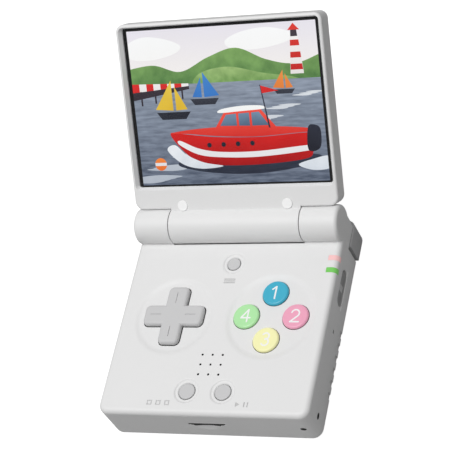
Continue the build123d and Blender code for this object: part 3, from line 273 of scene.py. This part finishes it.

# painted shade and a painted highlight in the openings and recesses of the upper shell, and the grey of its
# engraved signs, as middle, half size and grey
SHELL_BOXES = [
    # painted shade in the card's slot, and painted shadow at the top of the finger scoop below it
    ((0, FRONT_Y + 1.55, SLOT_Z), (7.6, 1.3, 0.72), OPENING_SHADE),
    ((0, FRONT_Y + 1.55, SLOT_Z - 1.0), (6.6, 1.5, 0.40), 0.04),
    # painted shade in the rocker's dish, and a painted highlight on the edge below it
    ((HALF_WIDTH - 0.65, ROCKER_Y, ROCKER_Z), (0.35, 9.0, 3.0), 0.45),
    ((HALF_WIDTH - 0.14, ROCKER_Y, ROCKER_Z - 2.4), (0.16, 8.5, 0.6), 0.98),
    # painted shade in the pinhole in the right side
    ((HALF_WIDTH - 1.3, PINHOLE_Y, PINHOLE_Z), (1.1, 0.9, 0.45), OPENING_SHADE),
    # painted shade in the speaker's holes
    ((0, GRILLE_Y, 17.75), (4.8, 4.8, 0.8), OPENING_SHADE),
    # the signs by the menu, select and start buttons
    ((0, MENU_SIGN_Y, SIGN_FLOOR), (2.6, 1.3, 0.08), 0.56),
    ((SELECT_SIGN_X, OPTION_SIGN_Y, SIGN_FLOOR), (4.9, 1.3, 0.08), 0.62),
    ((START_SIGN_X, OPTION_SIGN_Y, SIGN_FLOOR), (3.4, 1.3, 0.08), 0.56),
]

# painted shade in the lanyard's bore, across the front right corner between its two mouths
LANYARD_FRONT, LANYARD_SIDE, LANYARD_Z = 4.7, 5.4, 9.0
LANYARD_WAY = Vector((LANYARD_FRONT, LANYARD_SIDE, 0)).normalized()
LANYARD_MIDDLE = (HALF_WIDTH - LANYARD_FRONT / 2, FRONT_Y + LANYARD_SIDE / 2, LANYARD_Z)
LANYARD_BORE_SHADE = (LANYARD_MIDDLE, LANYARD_WAY, 0.9)
# painted shade on the cross pad's walls down in its hole
DPAD_HOLE_SHADE = ((DPAD_X, DPAD_Y, DISH_FLOOR - HOLE_SHADE), (15.0, 15.0, HOLE_SHADE), 0.05)
# the rocker: dark grey as painted shade in the hollows at its ends, and the plastic's own paler grey on the
# ridge between them
ROCKER_RIDGE = ((HALF_WIDTH, ROCKER_Y, ROCKER_Z), (3.0, 1.3, 3.0), 0.62)

white_shell = shell_plastic("white_shell", WHITE, 0.44)
upper_shell = shell_plastic("upper_shell", WHITE, 0.44, boxes=SHELL_BOXES, bores=[LANYARD_BORE_SHADE])
white_key = shell_plastic("white_key", scaled(WHITE, 0.98), 0.40)
grey_button = grey_plastic("grey_button", 0.60, 0.46, 0.35)
dpad_grey = grey_plastic("dpad_grey", 0.60, 0.46, 0.35, boxes=[DPAD_HOLE_SHADE])
grey_shoulder = grey_plastic("grey_shoulder", 0.50, 0.50, 0.3)
# painted shade in the rocker's end hollows, with its own grey on the middle ridge
rocker_shaded_grey = grey_plastic("rocker_shaded_grey", 0.36, 0.50, 0.3, boxes=[ROCKER_RIDGE])
blue_button = round_button("blue_button", (0.055, 0.45, 0.63, 1.0))
green_button = round_button("green_button", (0.46, 0.85, 0.42, 1.0))
pink_button = round_button("pink_button", (0.91, 0.40, 0.55, 1.0))
yellow_button = round_button("yellow_button", (0.97, 0.95, 0.50, 1.0))
bumper_rubber = surface("bumper_rubber", grey(0.97), 0.62, specular=0.3, mottle=0.02, grain=1800)
black_foam = surface(
    "black_foam", (0.012, 0.012, 0.013, 1.0), 0.9, specular=0.2, grain=3200, grain_depth=0.05,
)
display_cell = surface("display_cell", (0.02, 0.022, 0.026, 1.0), 0.25, mottle=0.05)
backlight_tray = surface(
    "backlight_tray", (0.72, 0.72, 0.74, 1.0), 0.35, metallic=1.0, stretch=(1, 12, 1),
)
silicone = surface("silicone", (0.5, 0.5, 0.52, 1.0), 0.55, grain=1500, through=0.2)
pivot_plastic = surface("pivot_plastic", grey(0.38), 0.5)
circuit_board = surface(
    "circuit_board", (0.015, 0.10, 0.045, 1.0), 0.35, mottle=0.25, mottle_scale=260, coat=0.4,
)
black_moulding = surface("black_moulding", (0.018, 0.018, 0.02, 1.0), 0.5, mottle=0.1)
sheet_steel = surface(
    "sheet_steel", (0.6, 0.6, 0.61, 1.0), 0.32, metallic=1.0, grain=1500, stretch=(1, 14, 1),
)
screw_steel = surface(
    "screw_steel", (0.42, 0.42, 0.43, 1.0), 0.3, metallic=1.0, grain=4000, stretch=(8, 1, 1),
)
battery_wrap = surface(
    "battery_wrap", (0.22, 0.24, 0.27, 1.0), 0.3, metallic=0.6, mottle=0.1, coat=0.3,
)
cable_film = surface(
    "cable_film", (0.34, 0.15, 0.035, 1.0), 0.3, mottle=0.12, mottle_scale=400, coat=0.5,
)
card_black = surface("card_black", (0.02, 0.02, 0.022, 1.0), 0.42, mottle=0.1)
chip_white = surface("chip_white", (0.88, 0.87, 0.78, 1.0), 0.4)
sign_white = surface("sign_white", grey(0.93), 0.4, grain_depth=0.004, mottle=0.01)


def light_pipe(name, color):
    """A translucent pipe lit from below: body colour with a soft inner glow, uneven along it."""
    material, tree, output, coords = start_material(name)
    shader = tree.nodes.new("ShaderNodeBsdfPrincipled")
    shader.inputs["Roughness"].default_value = 0.28
    shader.inputs["Emission Strength"].default_value = 0.2
    cloud = noise(tree, coords, 700, 2.0)
    tone = mix_colors(tree, cloud, scaled(color, 0.94), scaled(color, 1.06))
    tree.links.new(tone, shader.inputs["Base Color"])
    tree.links.new(tone, shader.inputs["Emission Color"])
    tree.links.new(shader.outputs["BSDF"], output.inputs["Surface"])
    return material


pink_light = light_pipe("pink_light", srgb(236, 188, 188))
green_light = light_pipe("green_light", srgb(116, 196, 94))


def clear_lens():
    """Clear lens: a straight view through, under a mirror that grows at grazing angles, with faint smears."""
    material, tree, output, coords = start_material("clear_lens")
    view = tree.nodes.new("ShaderNodeBsdfTransparent")
    view.inputs["Color"].default_value = (0.985, 0.99, 0.995, 1.0)
    mirror = tree.nodes.new("ShaderNodeBsdfGlossy")
    mirror.inputs["Color"].default_value = grey(1.0)
    smear = noise(tree, coords, 60, 3.0)
    tree.links.new(spread(tree, smear, 0.02, 0.06), mirror.inputs["Roughness"])
    # little of a mirror straight on, all of one at a grazing angle
    weight = tree.nodes.new("ShaderNodeLayerWeight")
    weight.inputs["Blend"].default_value = 0.5
    steep = math_node(tree, "POWER", weight.outputs["Facing"], 5.0)
    mixed = tree.nodes.new("ShaderNodeMixShader")
    tree.links.new(spread(tree, steep, 0.02, 1.0, 0.0, 1.0), mixed.inputs["Fac"])
    tree.links.new(view.outputs["BSDF"], mixed.inputs[1])
    tree.links.new(mirror.outputs["BSDF"], mixed.inputs[2])
    tree.links.new(mixed.outputs["Shader"], output.inputs["Surface"])
    return material


FINISHES = {
    upper_shell: ["base_top_shell"],
    white_shell: ["base_bottom_shell", "lid_bezel", "lid_back_cover"],
    white_key: ["power_key"],
    dpad_grey: ["dpad_cross"],
    grey_button: ["menu_button", "select_button", "start_button"],
    grey_shoulder: ["right_shoulder_button", "left_shoulder_button", "right_trigger", "left_trigger"],
    rocker_shaded_grey: ["volume_rocker"],
    blue_button: ["face_button_back"],
    green_button: ["face_button_left"],
    pink_button: ["face_button_right"],
    yellow_button: ["face_button_front"],
    clear_lens(): ["screen_lens"],
    black_foam: ["screen_gasket", "speaker_gasket", "display_foam", "battery_tape"],
    display_cell: ["display_panel"],
    backlight_tray: ["display_backlight"],
    bumper_rubber: ["lid_bumpers"],
    silicone: ["face_button_pad", "dpad_pad", "menu_pad", "option_pad"],
    pivot_plastic: ["dpad_pivot"],
    circuit_board: ["main_board"],
    black_moulding: [
        "processor_chip", "speaker", "headphone_jack", "shoulder_switches", "side_switches",
    ],
    card_black: ["memory_card"],
    sheet_steel: ["board_shield", "card_socket", "charging_port", "video_port", "vibration_motor"],
    screw_steel: [
        "board_screws", "case_screws", "lid_screws", "hinge_bush", "hinge_shaft", "hinge_click_unit",
        "hinge_click_spring", "lid_magnet",
    ],
    battery_wrap: ["battery"],
    cable_film: ["display_cable_base_half", "display_cable_lid_half"],
    pink_light: ["power_light_pipe"],
    green_light: ["charge_light_pipe"],
    chip_white: ["indicator_lights"],
}
for finish, names in FINISHES.items():
    for name in names:
        slots = NODES[name].data.materials
        slots.clear()
        slots.append(finish)


# ---------------------------------------------------------------- meshes and outlines
def mesh_object(name, points, faces, material):
    """A mesh from points in metres and its faces, with one material."""
    mesh = bpy.data.meshes.new(name)
    mesh.from_pydata(points, [], faces)
    mesh.update()
    mesh.materials.append(material)
    made = bpy.data.objects.new(name, mesh)
    bpy.context.scene.collection.objects.link(made)
    return made


def smooth_outline(points, steps=8):
    """A closed outline through the points, rounded by a Catmull-Rom curve."""
    out = []
    count = len(points)
    for i in range(count):
        p0, p1, p2, p3 = (Vector(points[(i + k - 1) % count]) for k in range(4))
        for s in range(steps):
            t = s / steps
            square = (2 * p0 - 5 * p1 + 4 * p2 - p3) * t**2
            cube = (3 * p1 - p0 - 3 * p2 + p3) * t**3
            out.append(0.5 * ((2 * p1) + (p2 - p0) * t + square + cube))
    return [(p.x, p.y) for p in out]


def arc(cx, cy, radius, first, last, steps=14):
    """Points on an arc between two angles in degrees."""
    angles = [math.radians(first + (last - first) * k / steps) for k in range(steps + 1)]
    return [(cx + radius * math.cos(a), cy + radius * math.sin(a)) for a in angles]


def ribbon(points, width, cap_steps=6):
    """Outlines, one per straight piece, of a stroke with round ends and joints."""
    pieces = []
    r = width / 2
    for (ax, ay), (bx, by) in zip(points, points[1:]):
        angle = math.atan2(by - ay, bx - ax)
        outline = []
        for cx, cy, start in ((bx, by, angle - math.pi / 2), (ax, ay, angle + math.pi / 2)):
            for k in range(cap_steps + 1):
                a = start + math.pi * k / cap_steps
                outline.append((cx + r * math.cos(a), cy + r * math.sin(a)))
        pieces.append(outline)
    return pieces


# ---------------------------------------------------------------- plain numbers on the four round buttons
NUMBER_SIZE = 1.1
STROKE = 0.64
NUMBER_SINK = 0.02
NUMBER_RISE = 0.03
PIECE_STEP = 0.0004  # each piece of a stroke lies a hair above the last, so that none share a plane
NUMBERS = {
    "back": [[(-1.1, 1.3), (0.15, 2.3), (0.15, -2.3)]],
    "right": [arc(0, 0.95, 1.4, 165, -40) + [(-1.5, -2.3), (1.6, -2.3)]],
    "front": [arc(0, 1.15, 1.2, 150, -90) + arc(0, -1.1, 1.3, 90, -150)],
    "left": [[(0.75, -2.3), (0.75, 2.3), (-1.6, -0.85), (1.7, -0.85)]],
}


def number(place, strokes):
    """Raised strokes on a round button, moving with it."""
    x0, y0 = node_middle(f"face_button_{place}")[:2]
    points, faces = [], []
    layer = 0
    for stroke in strokes:
        for outline in ribbon([(NUMBER_SIZE * x, NUMBER_SIZE * y) for x, y in stroke], STROKE):
            layer += 1
            base = len(points)
            count = len(outline)
            for level in (FACE_TOP - NUMBER_SINK, FACE_TOP + NUMBER_RISE + layer * PIECE_STEP):
                points += [((x0 + x) * MM, (y0 + y) * MM, level * MM) for x, y in outline]
            faces.append([base + count + k for k in range(count)])
            for k in range(count):
                following = (k + 1) % count
                faces.append([base + k, base + following, base + count + following, base + count + k])
    sign = mesh_object(f"number_on_{place}_button", points, faces, sign_white)
    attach(sign, f"face_button_{place}")


for place, strokes in NUMBERS.items():
    number(place, strokes)


# ---------------------------------------------------------------- picture on the screen: paint and outlines
def glow_paint(name, low, high, bottom, top, streak=0.06, scale=90, stretch=(1, 1, 1)):
    """Light from the screen: a gradient between two heights of the picture, with soft streaks."""
    material, tree, output, coords = start_material(name)
    along = vector_node(tree, "DOT_PRODUCT", coords.outputs["Object"], UP_LID)
    zero = AXIS_Y * MM * UP_LID[1] + AXIS_Z * MM * UP_LID[2] + PICTURE_BOTTOM * MM
    place = spread(tree, along.outputs["Value"], 0.0, 1.0, zero + bottom * MM, zero + top * MM)
    tone = mix_colors(tree, place, low, high)
    blur = spread(tree, noise(tree, coords, scale, 4.0, stretch), 0.0, 1.0)
    streaks = mix_colors(tree, blur, scaled(low, 1 - streak * 4), scaled(high, 1 + streak * 2))
    light = tree.nodes.new("ShaderNodeEmission")
    tree.links.new(mix_colors(tree, streak * 3, tone, streaks), light.inputs["Color"])
    tree.links.new(light.outputs["Emission"], output.inputs["Surface"])
    return material


def clip(outline):
    """Cut an outline to the picture's frame."""
    edges = ((0, 1, -PICTURE_HALF), (0, -1, -PICTURE_HALF), (1, 1, 0.0), (1, -1, -PICTURE_HEIGHT))
    for axis, sign, limit in edges:
        kept = []
        for i, point in enumerate(outline):
            before = outline[i - 1]
            a = sign * before[axis] - limit
            b = sign * point[axis] - limit
            if (a >= 0) != (b >= 0):
                t = a / (a - b)
                x, y = (p + t * (q - p) for p, q in zip(before, point))
                kept.append((x, y))
            if b >= 0:
                kept.append(point)
        outline = kept
        if not outline:
            return []
    return outline


FIRST_LAYER = 0.02  # display to the first shape
LAYER_STEP = 0.004
picture_shapes = []


def paint(name, outlines, material):
    """One shape of the picture, clipped to its frame, a hair in front of the last one."""
    picture_shapes.append(name)
    n = DISPLAY_FACE + FIRST_LAYER + LAYER_STEP * len(picture_shapes)
    points, faces = [], []
    for outline in outlines:
        clipped = clip(outline)
        if len(clipped) < 3:
            continue
        base = len(points)
        points += [lid_point(x, PICTURE_BOTTOM + y, n) for x, y in clipped]
        for triangle in tessellate_polygon([[Vector((x, y, 0)) for x, y in clipped]]):
            faces.append([base + k for k in triangle])
    made = mesh_object(name, points, faces, material)
    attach(made, "lid")


def moved(points, dx, dy, size=1.0, mirror=1):
    """Points scaled, turned over where mirror is -1, and moved."""
    return [(dx + mirror * size * x, dy + size * y) for x, y in points]


# ---------------------------------------------------------------- picture on the screen: a bay with boats
# All places are in millimetres, across from the picture's middle and up from its lower edge.
LEFT, RIGHT, TOP = -PICTURE_HALF, PICTURE_HALF, PICTURE_HEIGHT


def paint_sky():
    """Pale sky with two clouds."""
    sky = glow_paint("screen_sky", srgb(255, 250, 240), srgb(236, 232, 240), 34, 60, 0.04, 60, (1, 3, 1))
    paint("screen_sky", [[(LEFT, 30), (RIGHT, 30), (RIGHT, TOP), (LEFT, TOP)]], sky)
    cloud = glow_paint("screen_cloud", srgb(250, 248, 244), srgb(255, 255, 255), 40, 60, 0.03)
    left = [(-39, 50), (-30, 49), (-20, 51), (-17, 54), (-24, 57), (-33, 58), (-40, 55)]
    right = [(4, 52), (14, 51), (26, 53), (30, 56), (20, 59), (9, 58), (2, 55)]
    paint("screen_cloud_left", [smooth_outline(left)], cloud)
    paint("screen_cloud_right", [smooth_outline(right)], cloud)


def paint_hills():
    """Dark hills across the picture and a light meadow in front of them."""
    hill = glow_paint("screen_hill", srgb(72, 118, 66), srgb(138, 178, 104), 38, 52, 0.1, 220)
    hills = [
        (LEFT - 6, 38), (LEFT - 6, 44), (-30, 47), (-18, 44), (-6, 49), (6, 52), (18, 47), (30, 45),
        (RIGHT + 6, 49), (RIGHT + 6, 38),
    ]
    paint("screen_hills", [smooth_outline(hills)], hill)
    meadow = glow_paint("screen_meadow", srgb(104, 150, 78), srgb(168, 198, 128), 38, 46, 0.1, 300)
    slope = [(-12, 38), (-10, 43), (2, 45), (16, 42), (28, 40), (30, 38), (8, 37)]
    paint("screen_meadow", [smooth_outline(slope)], meadow)


def paint_water():
    """Water with glints that grow towards the viewer."""
    water = glow_paint("screen_water", srgb(74, 84, 104), srgb(150, 160, 176), 0, 40, 0.12, 150, (1, 6, 6))
    shore = 39.2
    paint("screen_water", [[(LEFT, 0), (RIGHT, 0), (RIGHT, shore), (LEFT, shore)]], water)
    glint = glow_paint("screen_glint", srgb(176, 184, 196), srgb(226, 230, 234), 0, 38, 0.05)
    glints = []
    for k in range(26):
        x = LEFT + (k * 29.7) % (2 * PICTURE_HALF)
        y = 1.5 + 35.5 * ((k * 0.377) % 1.0)
        nearness = 1 - y / 38
        half = 3.2 + 6.5 * nearness
        high = 0.28 + 0.5 * nearness
        corners = [(x - half, y), (x, y + high), (x + half, y + 0.1), (x + 0.3 * half, y - high)]
        glints.append(smooth_outline(corners, 5))
    paint("screen_glints", glints, glint)


# paints that several motifs share
flag_red = glow_paint("screen_pier_red", srgb(196, 30, 34), srgb(230, 52, 48), 28, 44, 0.05)
timber_dark = glow_paint("screen_pier_dark", srgb(40, 34, 44), srgb(70, 62, 70), 28, 44, 0.08)
boat_white = glow_paint("screen_boat_white", srgb(228, 226, 228), srgb(252, 252, 250), 6, 30, 0.03)


def paint_pier():
    """A pier from the left edge, with a rail of red and white stripes, on four posts."""
    white = glow_paint("screen_pier_white", srgb(226, 222, 220), srgb(250, 248, 246), 28, 44, 0.03)
    paint("screen_pier", [[(LEFT, 33.5), (-15, 37.2), (-15, 38.4), (LEFT, 36.6)]], timber_dark)
    stripe = 3.0
    stripes = [[], []]
    for k in range(8):
        near, far = stripe * k, stripe * (k + 1)
        low = [36.6 + 0.0753 * along for along in (near, far)]
        tall = [3.4 - 0.1 * along for along in (near, far)]
        stripes[k % 2].append([
            (LEFT + near, low[0]), (LEFT + far, low[1]),
            (LEFT + far, low[1] + tall[1]), (LEFT + near, low[0] + tall[0]),
        ])
    paint("screen_pier_red", stripes[0], flag_red)
    paint("screen_pier_white", stripes[1], white)
    posts = []
    for x in (-36, -30, -24, -18.5):
        foot = 31.0 + 0.12 * (x - LEFT)
        posts.append([(x, foot), (x + 0.7, foot), (x + 0.7, 37), (x, 37)])
    paint("screen_pier_posts", posts, timber_dark)


def paint_lighthouse():
    """A white tower on the right bank, with red bands and a red roof."""
    white = glow_paint("screen_tower_white", srgb(232, 226, 222), srgb(252, 250, 248), 38, 58, 0.03)
    red = glow_paint("screen_tower_red", srgb(188, 34, 34), srgb(226, 62, 52), 38, 58, 0.04)
    x0, foot, neck, eaves = 30, 41, 55, 57.4
    tower = [(x0 - 2.7, foot), (x0 + 2.7, foot), (x0 + 1.6, neck), (x0 - 1.6, neck)]
    paint("screen_tower", [tower], white)
    bands = []
    for low in (42.5, 47.0, 51.5):
        high = low + 2.2
        wide, narrow = (2.6 - 0.07 * (y - foot) for y in (low, high))
        bands.append([(x0 - wide, low), (x0 + wide, low), (x0 + narrow, high), (x0 - narrow, high)])
    bands.append([(x0 - 2.4, eaves), (x0 + 2.4, eaves), (x0, 60)])
    paint("screen_tower_bands", bands, red)
    room = [(x0 - 1.4, neck), (x0 + 1.4, neck), (x0 + 1.2, eaves), (x0 - 1.2, eaves)]
    paint("screen_tower_room", [room], timber_dark)


def paint_sailing_boats():
    """Three small sailing boats in the distance."""
    sail = [(0.4, 1.4), (0.4, 9.2), (5.4, 1.8)]
    jib = [(-0.4, 1.4), (-0.4, 7.6), (-3.6, 1.6)]
    hull = [(-4.4, 1.0), (5.2, 1.0), (3.8, -0.9), (-3.0, -0.9)]
    blue = glow_paint("screen_blue_sail", srgb(30, 92, 176), srgb(84, 150, 218), 28, 48)
    yellow = glow_paint("screen_yellow_sail", srgb(222, 178, 40), srgb(248, 220, 96), 28, 48)
    orange = glow_paint("screen_orange_sail", srgb(224, 112, 40), srgb(246, 158, 84), 28, 48)
    dark = glow_paint("screen_small_hull", srgb(32, 34, 44), srgb(72, 76, 88), 28, 40)
    boats = (
        ("blue", blue, (-9.5, 32.0, 1.25, 1)),
        ("yellow", yellow, (-22.0, 27.0, 1.5, -1)),
        ("orange", orange, (24.5, 34.5, 0.9, -1)),
    )
    for name, cloth, place in boats:
        paint(f"screen_{name}_sails", [moved(sail, *place), moved(jib, *place)], cloth)
        paint(f"screen_{name}_hull", [moved(hull, *place)], dark)


def paint_motor_boat():
    """A large red motor boat in the foreground, with its shadow and spray."""
    shadow = glow_paint("screen_boat_shadow", srgb(34, 38, 52), srgb(62, 70, 88), 2, 18, 0.08, 200, (1, 5, 5))
    red = glow_paint("screen_boat_red", srgb(150, 12, 18), srgb(226, 36, 34), 6, 22, 0.06, 70, (1, 3, 3))
    deck = glow_paint("screen_boat_deck", srgb(206, 30, 32), srgb(244, 82, 66), 16, 26, 0.05)
    dark = glow_paint("screen_boat_dark", srgb(20, 20, 28), srgb(58, 62, 78), 8, 32, 0.08)
    glass = glow_paint("screen_boat_glass", srgb(58, 78, 104), srgb(142, 170, 196), 20, 32)
    spray = glow_paint("screen_spray", srgb(206, 214, 224), srgb(246, 248, 250), 2, 18, 0.05, 260)

    below = [(-22, 7), (-8, 4.2), (12, 3.6), (32, 6.5), (36, 10), (20, 11), (-4, 10.5), (-20, 9.5)]
    paint("screen_boat_shadow", [smooth_outline(below)], shadow)
    hull = [
        (-25, 20.2), (-21, 14), (-15, 9.2), (-6, 7.2), (12, 7.0), (30, 8.6), (33.6, 11.5), (34.4, 17.6),
        (31, 18.6), (12, 17.6), (-6, 18.2), (-18, 19.6),
    ]
    paint("screen_hull", [smooth_outline(hull, 6)], red)
    top = [
        (-25, 20.2), (-18, 19.8), (-4, 18.4), (12, 17.8), (31, 18.8), (34.2, 18.0), (33, 20.2),
        (16, 21.6), (-2, 22.0), (-16, 21.4),
    ]
    paint("screen_deck", [smooth_outline(top, 6)], deck)
    band = [
        (-21.6, 15.6), (-14, 11.6), (-4, 10.2), (12, 10.0), (33.6, 12.0), (34.0, 13.9), (12, 12.2),
        (-4, 12.3), (-13.6, 13.9), (-21.2, 17.2),
    ]
    paint("screen_hull_band", [smooth_outline(band, 6)], boat_white)

    paint("screen_cabin", [[(-6, 21.2), (-1.5, 27.6), (13.5, 28.4), (19.5, 21.2)]], deck)
    roof = [(-3.6, 27.4), (-2.6, 28.8), (6, 29.8), (14, 29.6), (15.6, 28.4), (6, 27.8)]
    paint("screen_cabin_roof", [smooth_outline(roof, 5)], boat_white)
    windows = [
        [(-3.6, 22.4), (-0.9, 26.6), (3.4, 26.9), (3.4, 22.2)],
        [(4.3, 22.2), (4.3, 26.9), (8.8, 27.1), (8.8, 22.0)],
        [(9.7, 22.0), (9.7, 27.1), (12.9, 27.3), (16.6, 22.0)],
    ]
    paint("screen_windows", windows, glass)

    paint("screen_mast", [[(16.4, 21.0), (17.1, 21.0), (14.6, 37.5), (14.2, 37.5)]], dark)
    paint("screen_pennant", [[(14.5, 37.2), (14.9, 34.2), (21.8, 35.0)]], flag_red)
    engine = [(31.6, 12), (36.4, 12.6), (37.2, 19.4), (35.2, 21.4), (32.2, 20.6)]
    paint("screen_engine", [smooth_outline(engine, 5)], dark)
    paint("screen_portholes", [arc(x, 15.2 + 0.01 * x, 0.95, 0, 342, 18) for x in (-9, -3, 3, 9)], dark)
    bow = [(-27, 13.6), (-23.6, 15.6), (-19, 11.6), (-12, 8.4), (-4, 6.8), (-13, 6.0), (-21, 8.0)]
    stern = [(27, 6.4), (33, 8.4), (39.6, 9.4), (40, 5.0), (33, 4.2)]
    paint("screen_spray", [smooth_outline(bow, 6), smooth_outline(stern, 6)], spray)


def paint_buoy():
    """An orange buoy with a white band."""
    orange = glow_paint("screen_buoy", srgb(226, 84, 30), srgb(250, 146, 66), 1, 12, 0.05)
    paint("screen_buoy", [arc(-30.5, 8.2, 2.5, 0, 348, 26)], orange)
    paint("screen_buoy_band", [[(-32.9, 7.6), (-28.1, 7.6), (-28.0, 8.8), (-33.0, 8.8)]], boat_white)


# from the back of the picture to its front
paint_sky()
paint_hills()
paint_water()
paint_pier()
paint_lighthouse()
paint_sailing_boats()
paint_motor_boat()
paint_buoy()


# ---------------------------------------------------------------- floor and backdrop
def floor_paint():
    """White to the camera, mid grey to the light that bounces, so that the sides keep their shade."""
    material, tree, output, coords = start_material("studio_floor")
    rays = tree.nodes.new("ShaderNodeLightPath")
    seen = math_node(tree, "MAXIMUM", rays.outputs["Is Camera Ray"], rays.outputs["Is Transmission Ray"])
    catch = tree.nodes.new("ShaderNodeBsdfDiffuse")
    grain = noise(tree, coords, 40, 2.0)
    tree.links.new(mix_colors(tree, grain, grey(0.33), grey(0.36)), catch.inputs["Color"])
    glow = tree.nodes.new("ShaderNodeEmission")
    glow.inputs["Strength"].default_value = 0.93
    both = tree.nodes.new("ShaderNodeAddShader")
    tree.links.new(catch.outputs["BSDF"], both.inputs[0])
    tree.links.new(glow.outputs["Emission"], both.inputs[1])
    bounce = tree.nodes.new("ShaderNodeBsdfDiffuse")
    bounce.inputs["Color"].default_value = grey(0.36)
    mixed = tree.nodes.new("ShaderNodeMixShader")
    tree.links.new(seen, mixed.inputs["Fac"])
    tree.links.new(bounce.outputs["BSDF"], mixed.inputs[1])
    tree.links.new(both.outputs["Shader"], mixed.inputs[2])
    tree.links.new(mixed.outputs["Shader"], output.inputs["Surface"])
    return material


FLOOR_HALF = 4.0
FLOOR_DROP = 0.00005
corners = [(FLOOR_HALF * x, FLOOR_HALF * y, 0) for x, y in ((-1, -1), (1, -1), (1, 1), (-1, 1))]
floor = mesh_object("studio_floor", corners, [(0, 1, 2, 3)], floor_paint())
floor.location.z = -FLOOR_DROP


def studio_world():
    """White behind the object, and a dim even light from all round."""
    world = bpy.data.worlds.new("studio")
    world.use_nodes = True
    tree = world.node_tree
    tree.nodes.clear()
    rays = tree.nodes.new("ShaderNodeLightPath")
    mixed = tree.nodes.new("ShaderNodeMixShader")
    tree.links.new(rays.outputs["Is Camera Ray"], mixed.inputs["Fac"])
    for slot, strength in ((1, 0.29), (2, 1.0)):
        sky = tree.nodes.new("ShaderNodeBackground")
        sky.inputs["Color"].default_value = grey(1.0)
        sky.inputs["Strength"].default_value = strength
        tree.links.new(sky.outputs["Background"], mixed.inputs[slot])
    output = tree.nodes.new("ShaderNodeOutputWorld")
    tree.links.new(mixed.outputs["Shader"], output.inputs["Surface"])
    return world


bpy.context.scene.world = studio_world()


# ---------------------------------------------------------------- light and camera
def softbox(name, place, target, size, power):
    """A square area lamp aimed at a point."""
    data = bpy.data.lights.new(name, "AREA")
    data.shape = "SQUARE"
    data.size = size
    data.energy = power
    lamp = bpy.data.objects.new(name, data)
    bpy.context.scene.collection.objects.link(lamp)
    lamp.location = place
    aim = Vector(target) - Vector(place)
    lamp.rotation_euler = aim.to_track_quat("-Z", "Y").to_euler()


softbox("key_softbox", place=(-0.20, -0.17, 1.30), target=(0.0, 0.03, 0.03), size=0.8, power=13.0)

# the photograph's view: the camera's place, and its axes to the right and away from the object
CAMERA_PLACE = (0.281405, -0.309485, 0.570528)
CAMERA_RIGHT = (0.9144, 0.2007, -0.3516)
CAMERA_BACK = (0.4045, -0.4871, 0.7740)


def photo_camera():
    """Camera at the photograph's place and angle."""
    data = bpy.data.cameras.new("camera")
    data.sensor_width = 36.0
    data.lens = 145.86
    data.clip_start = 0.01
    camera = bpy.data.objects.new("camera", data)
    bpy.context.scene.collection.objects.link(camera)
    back = Vector(CAMERA_BACK).normalized()
    up = back.cross(Vector(CAMERA_RIGHT)).normalized()
    right = up.cross(back).normalized()
    turn = Matrix((right, up, back)).transposed().to_4x4()
    camera.matrix_world = Matrix.Translation(CAMERA_PLACE) @ turn
    return camera


bpy.context.scene.camera = photo_camera()
bpy.context.scene.view_settings.view_transform = "Standard"
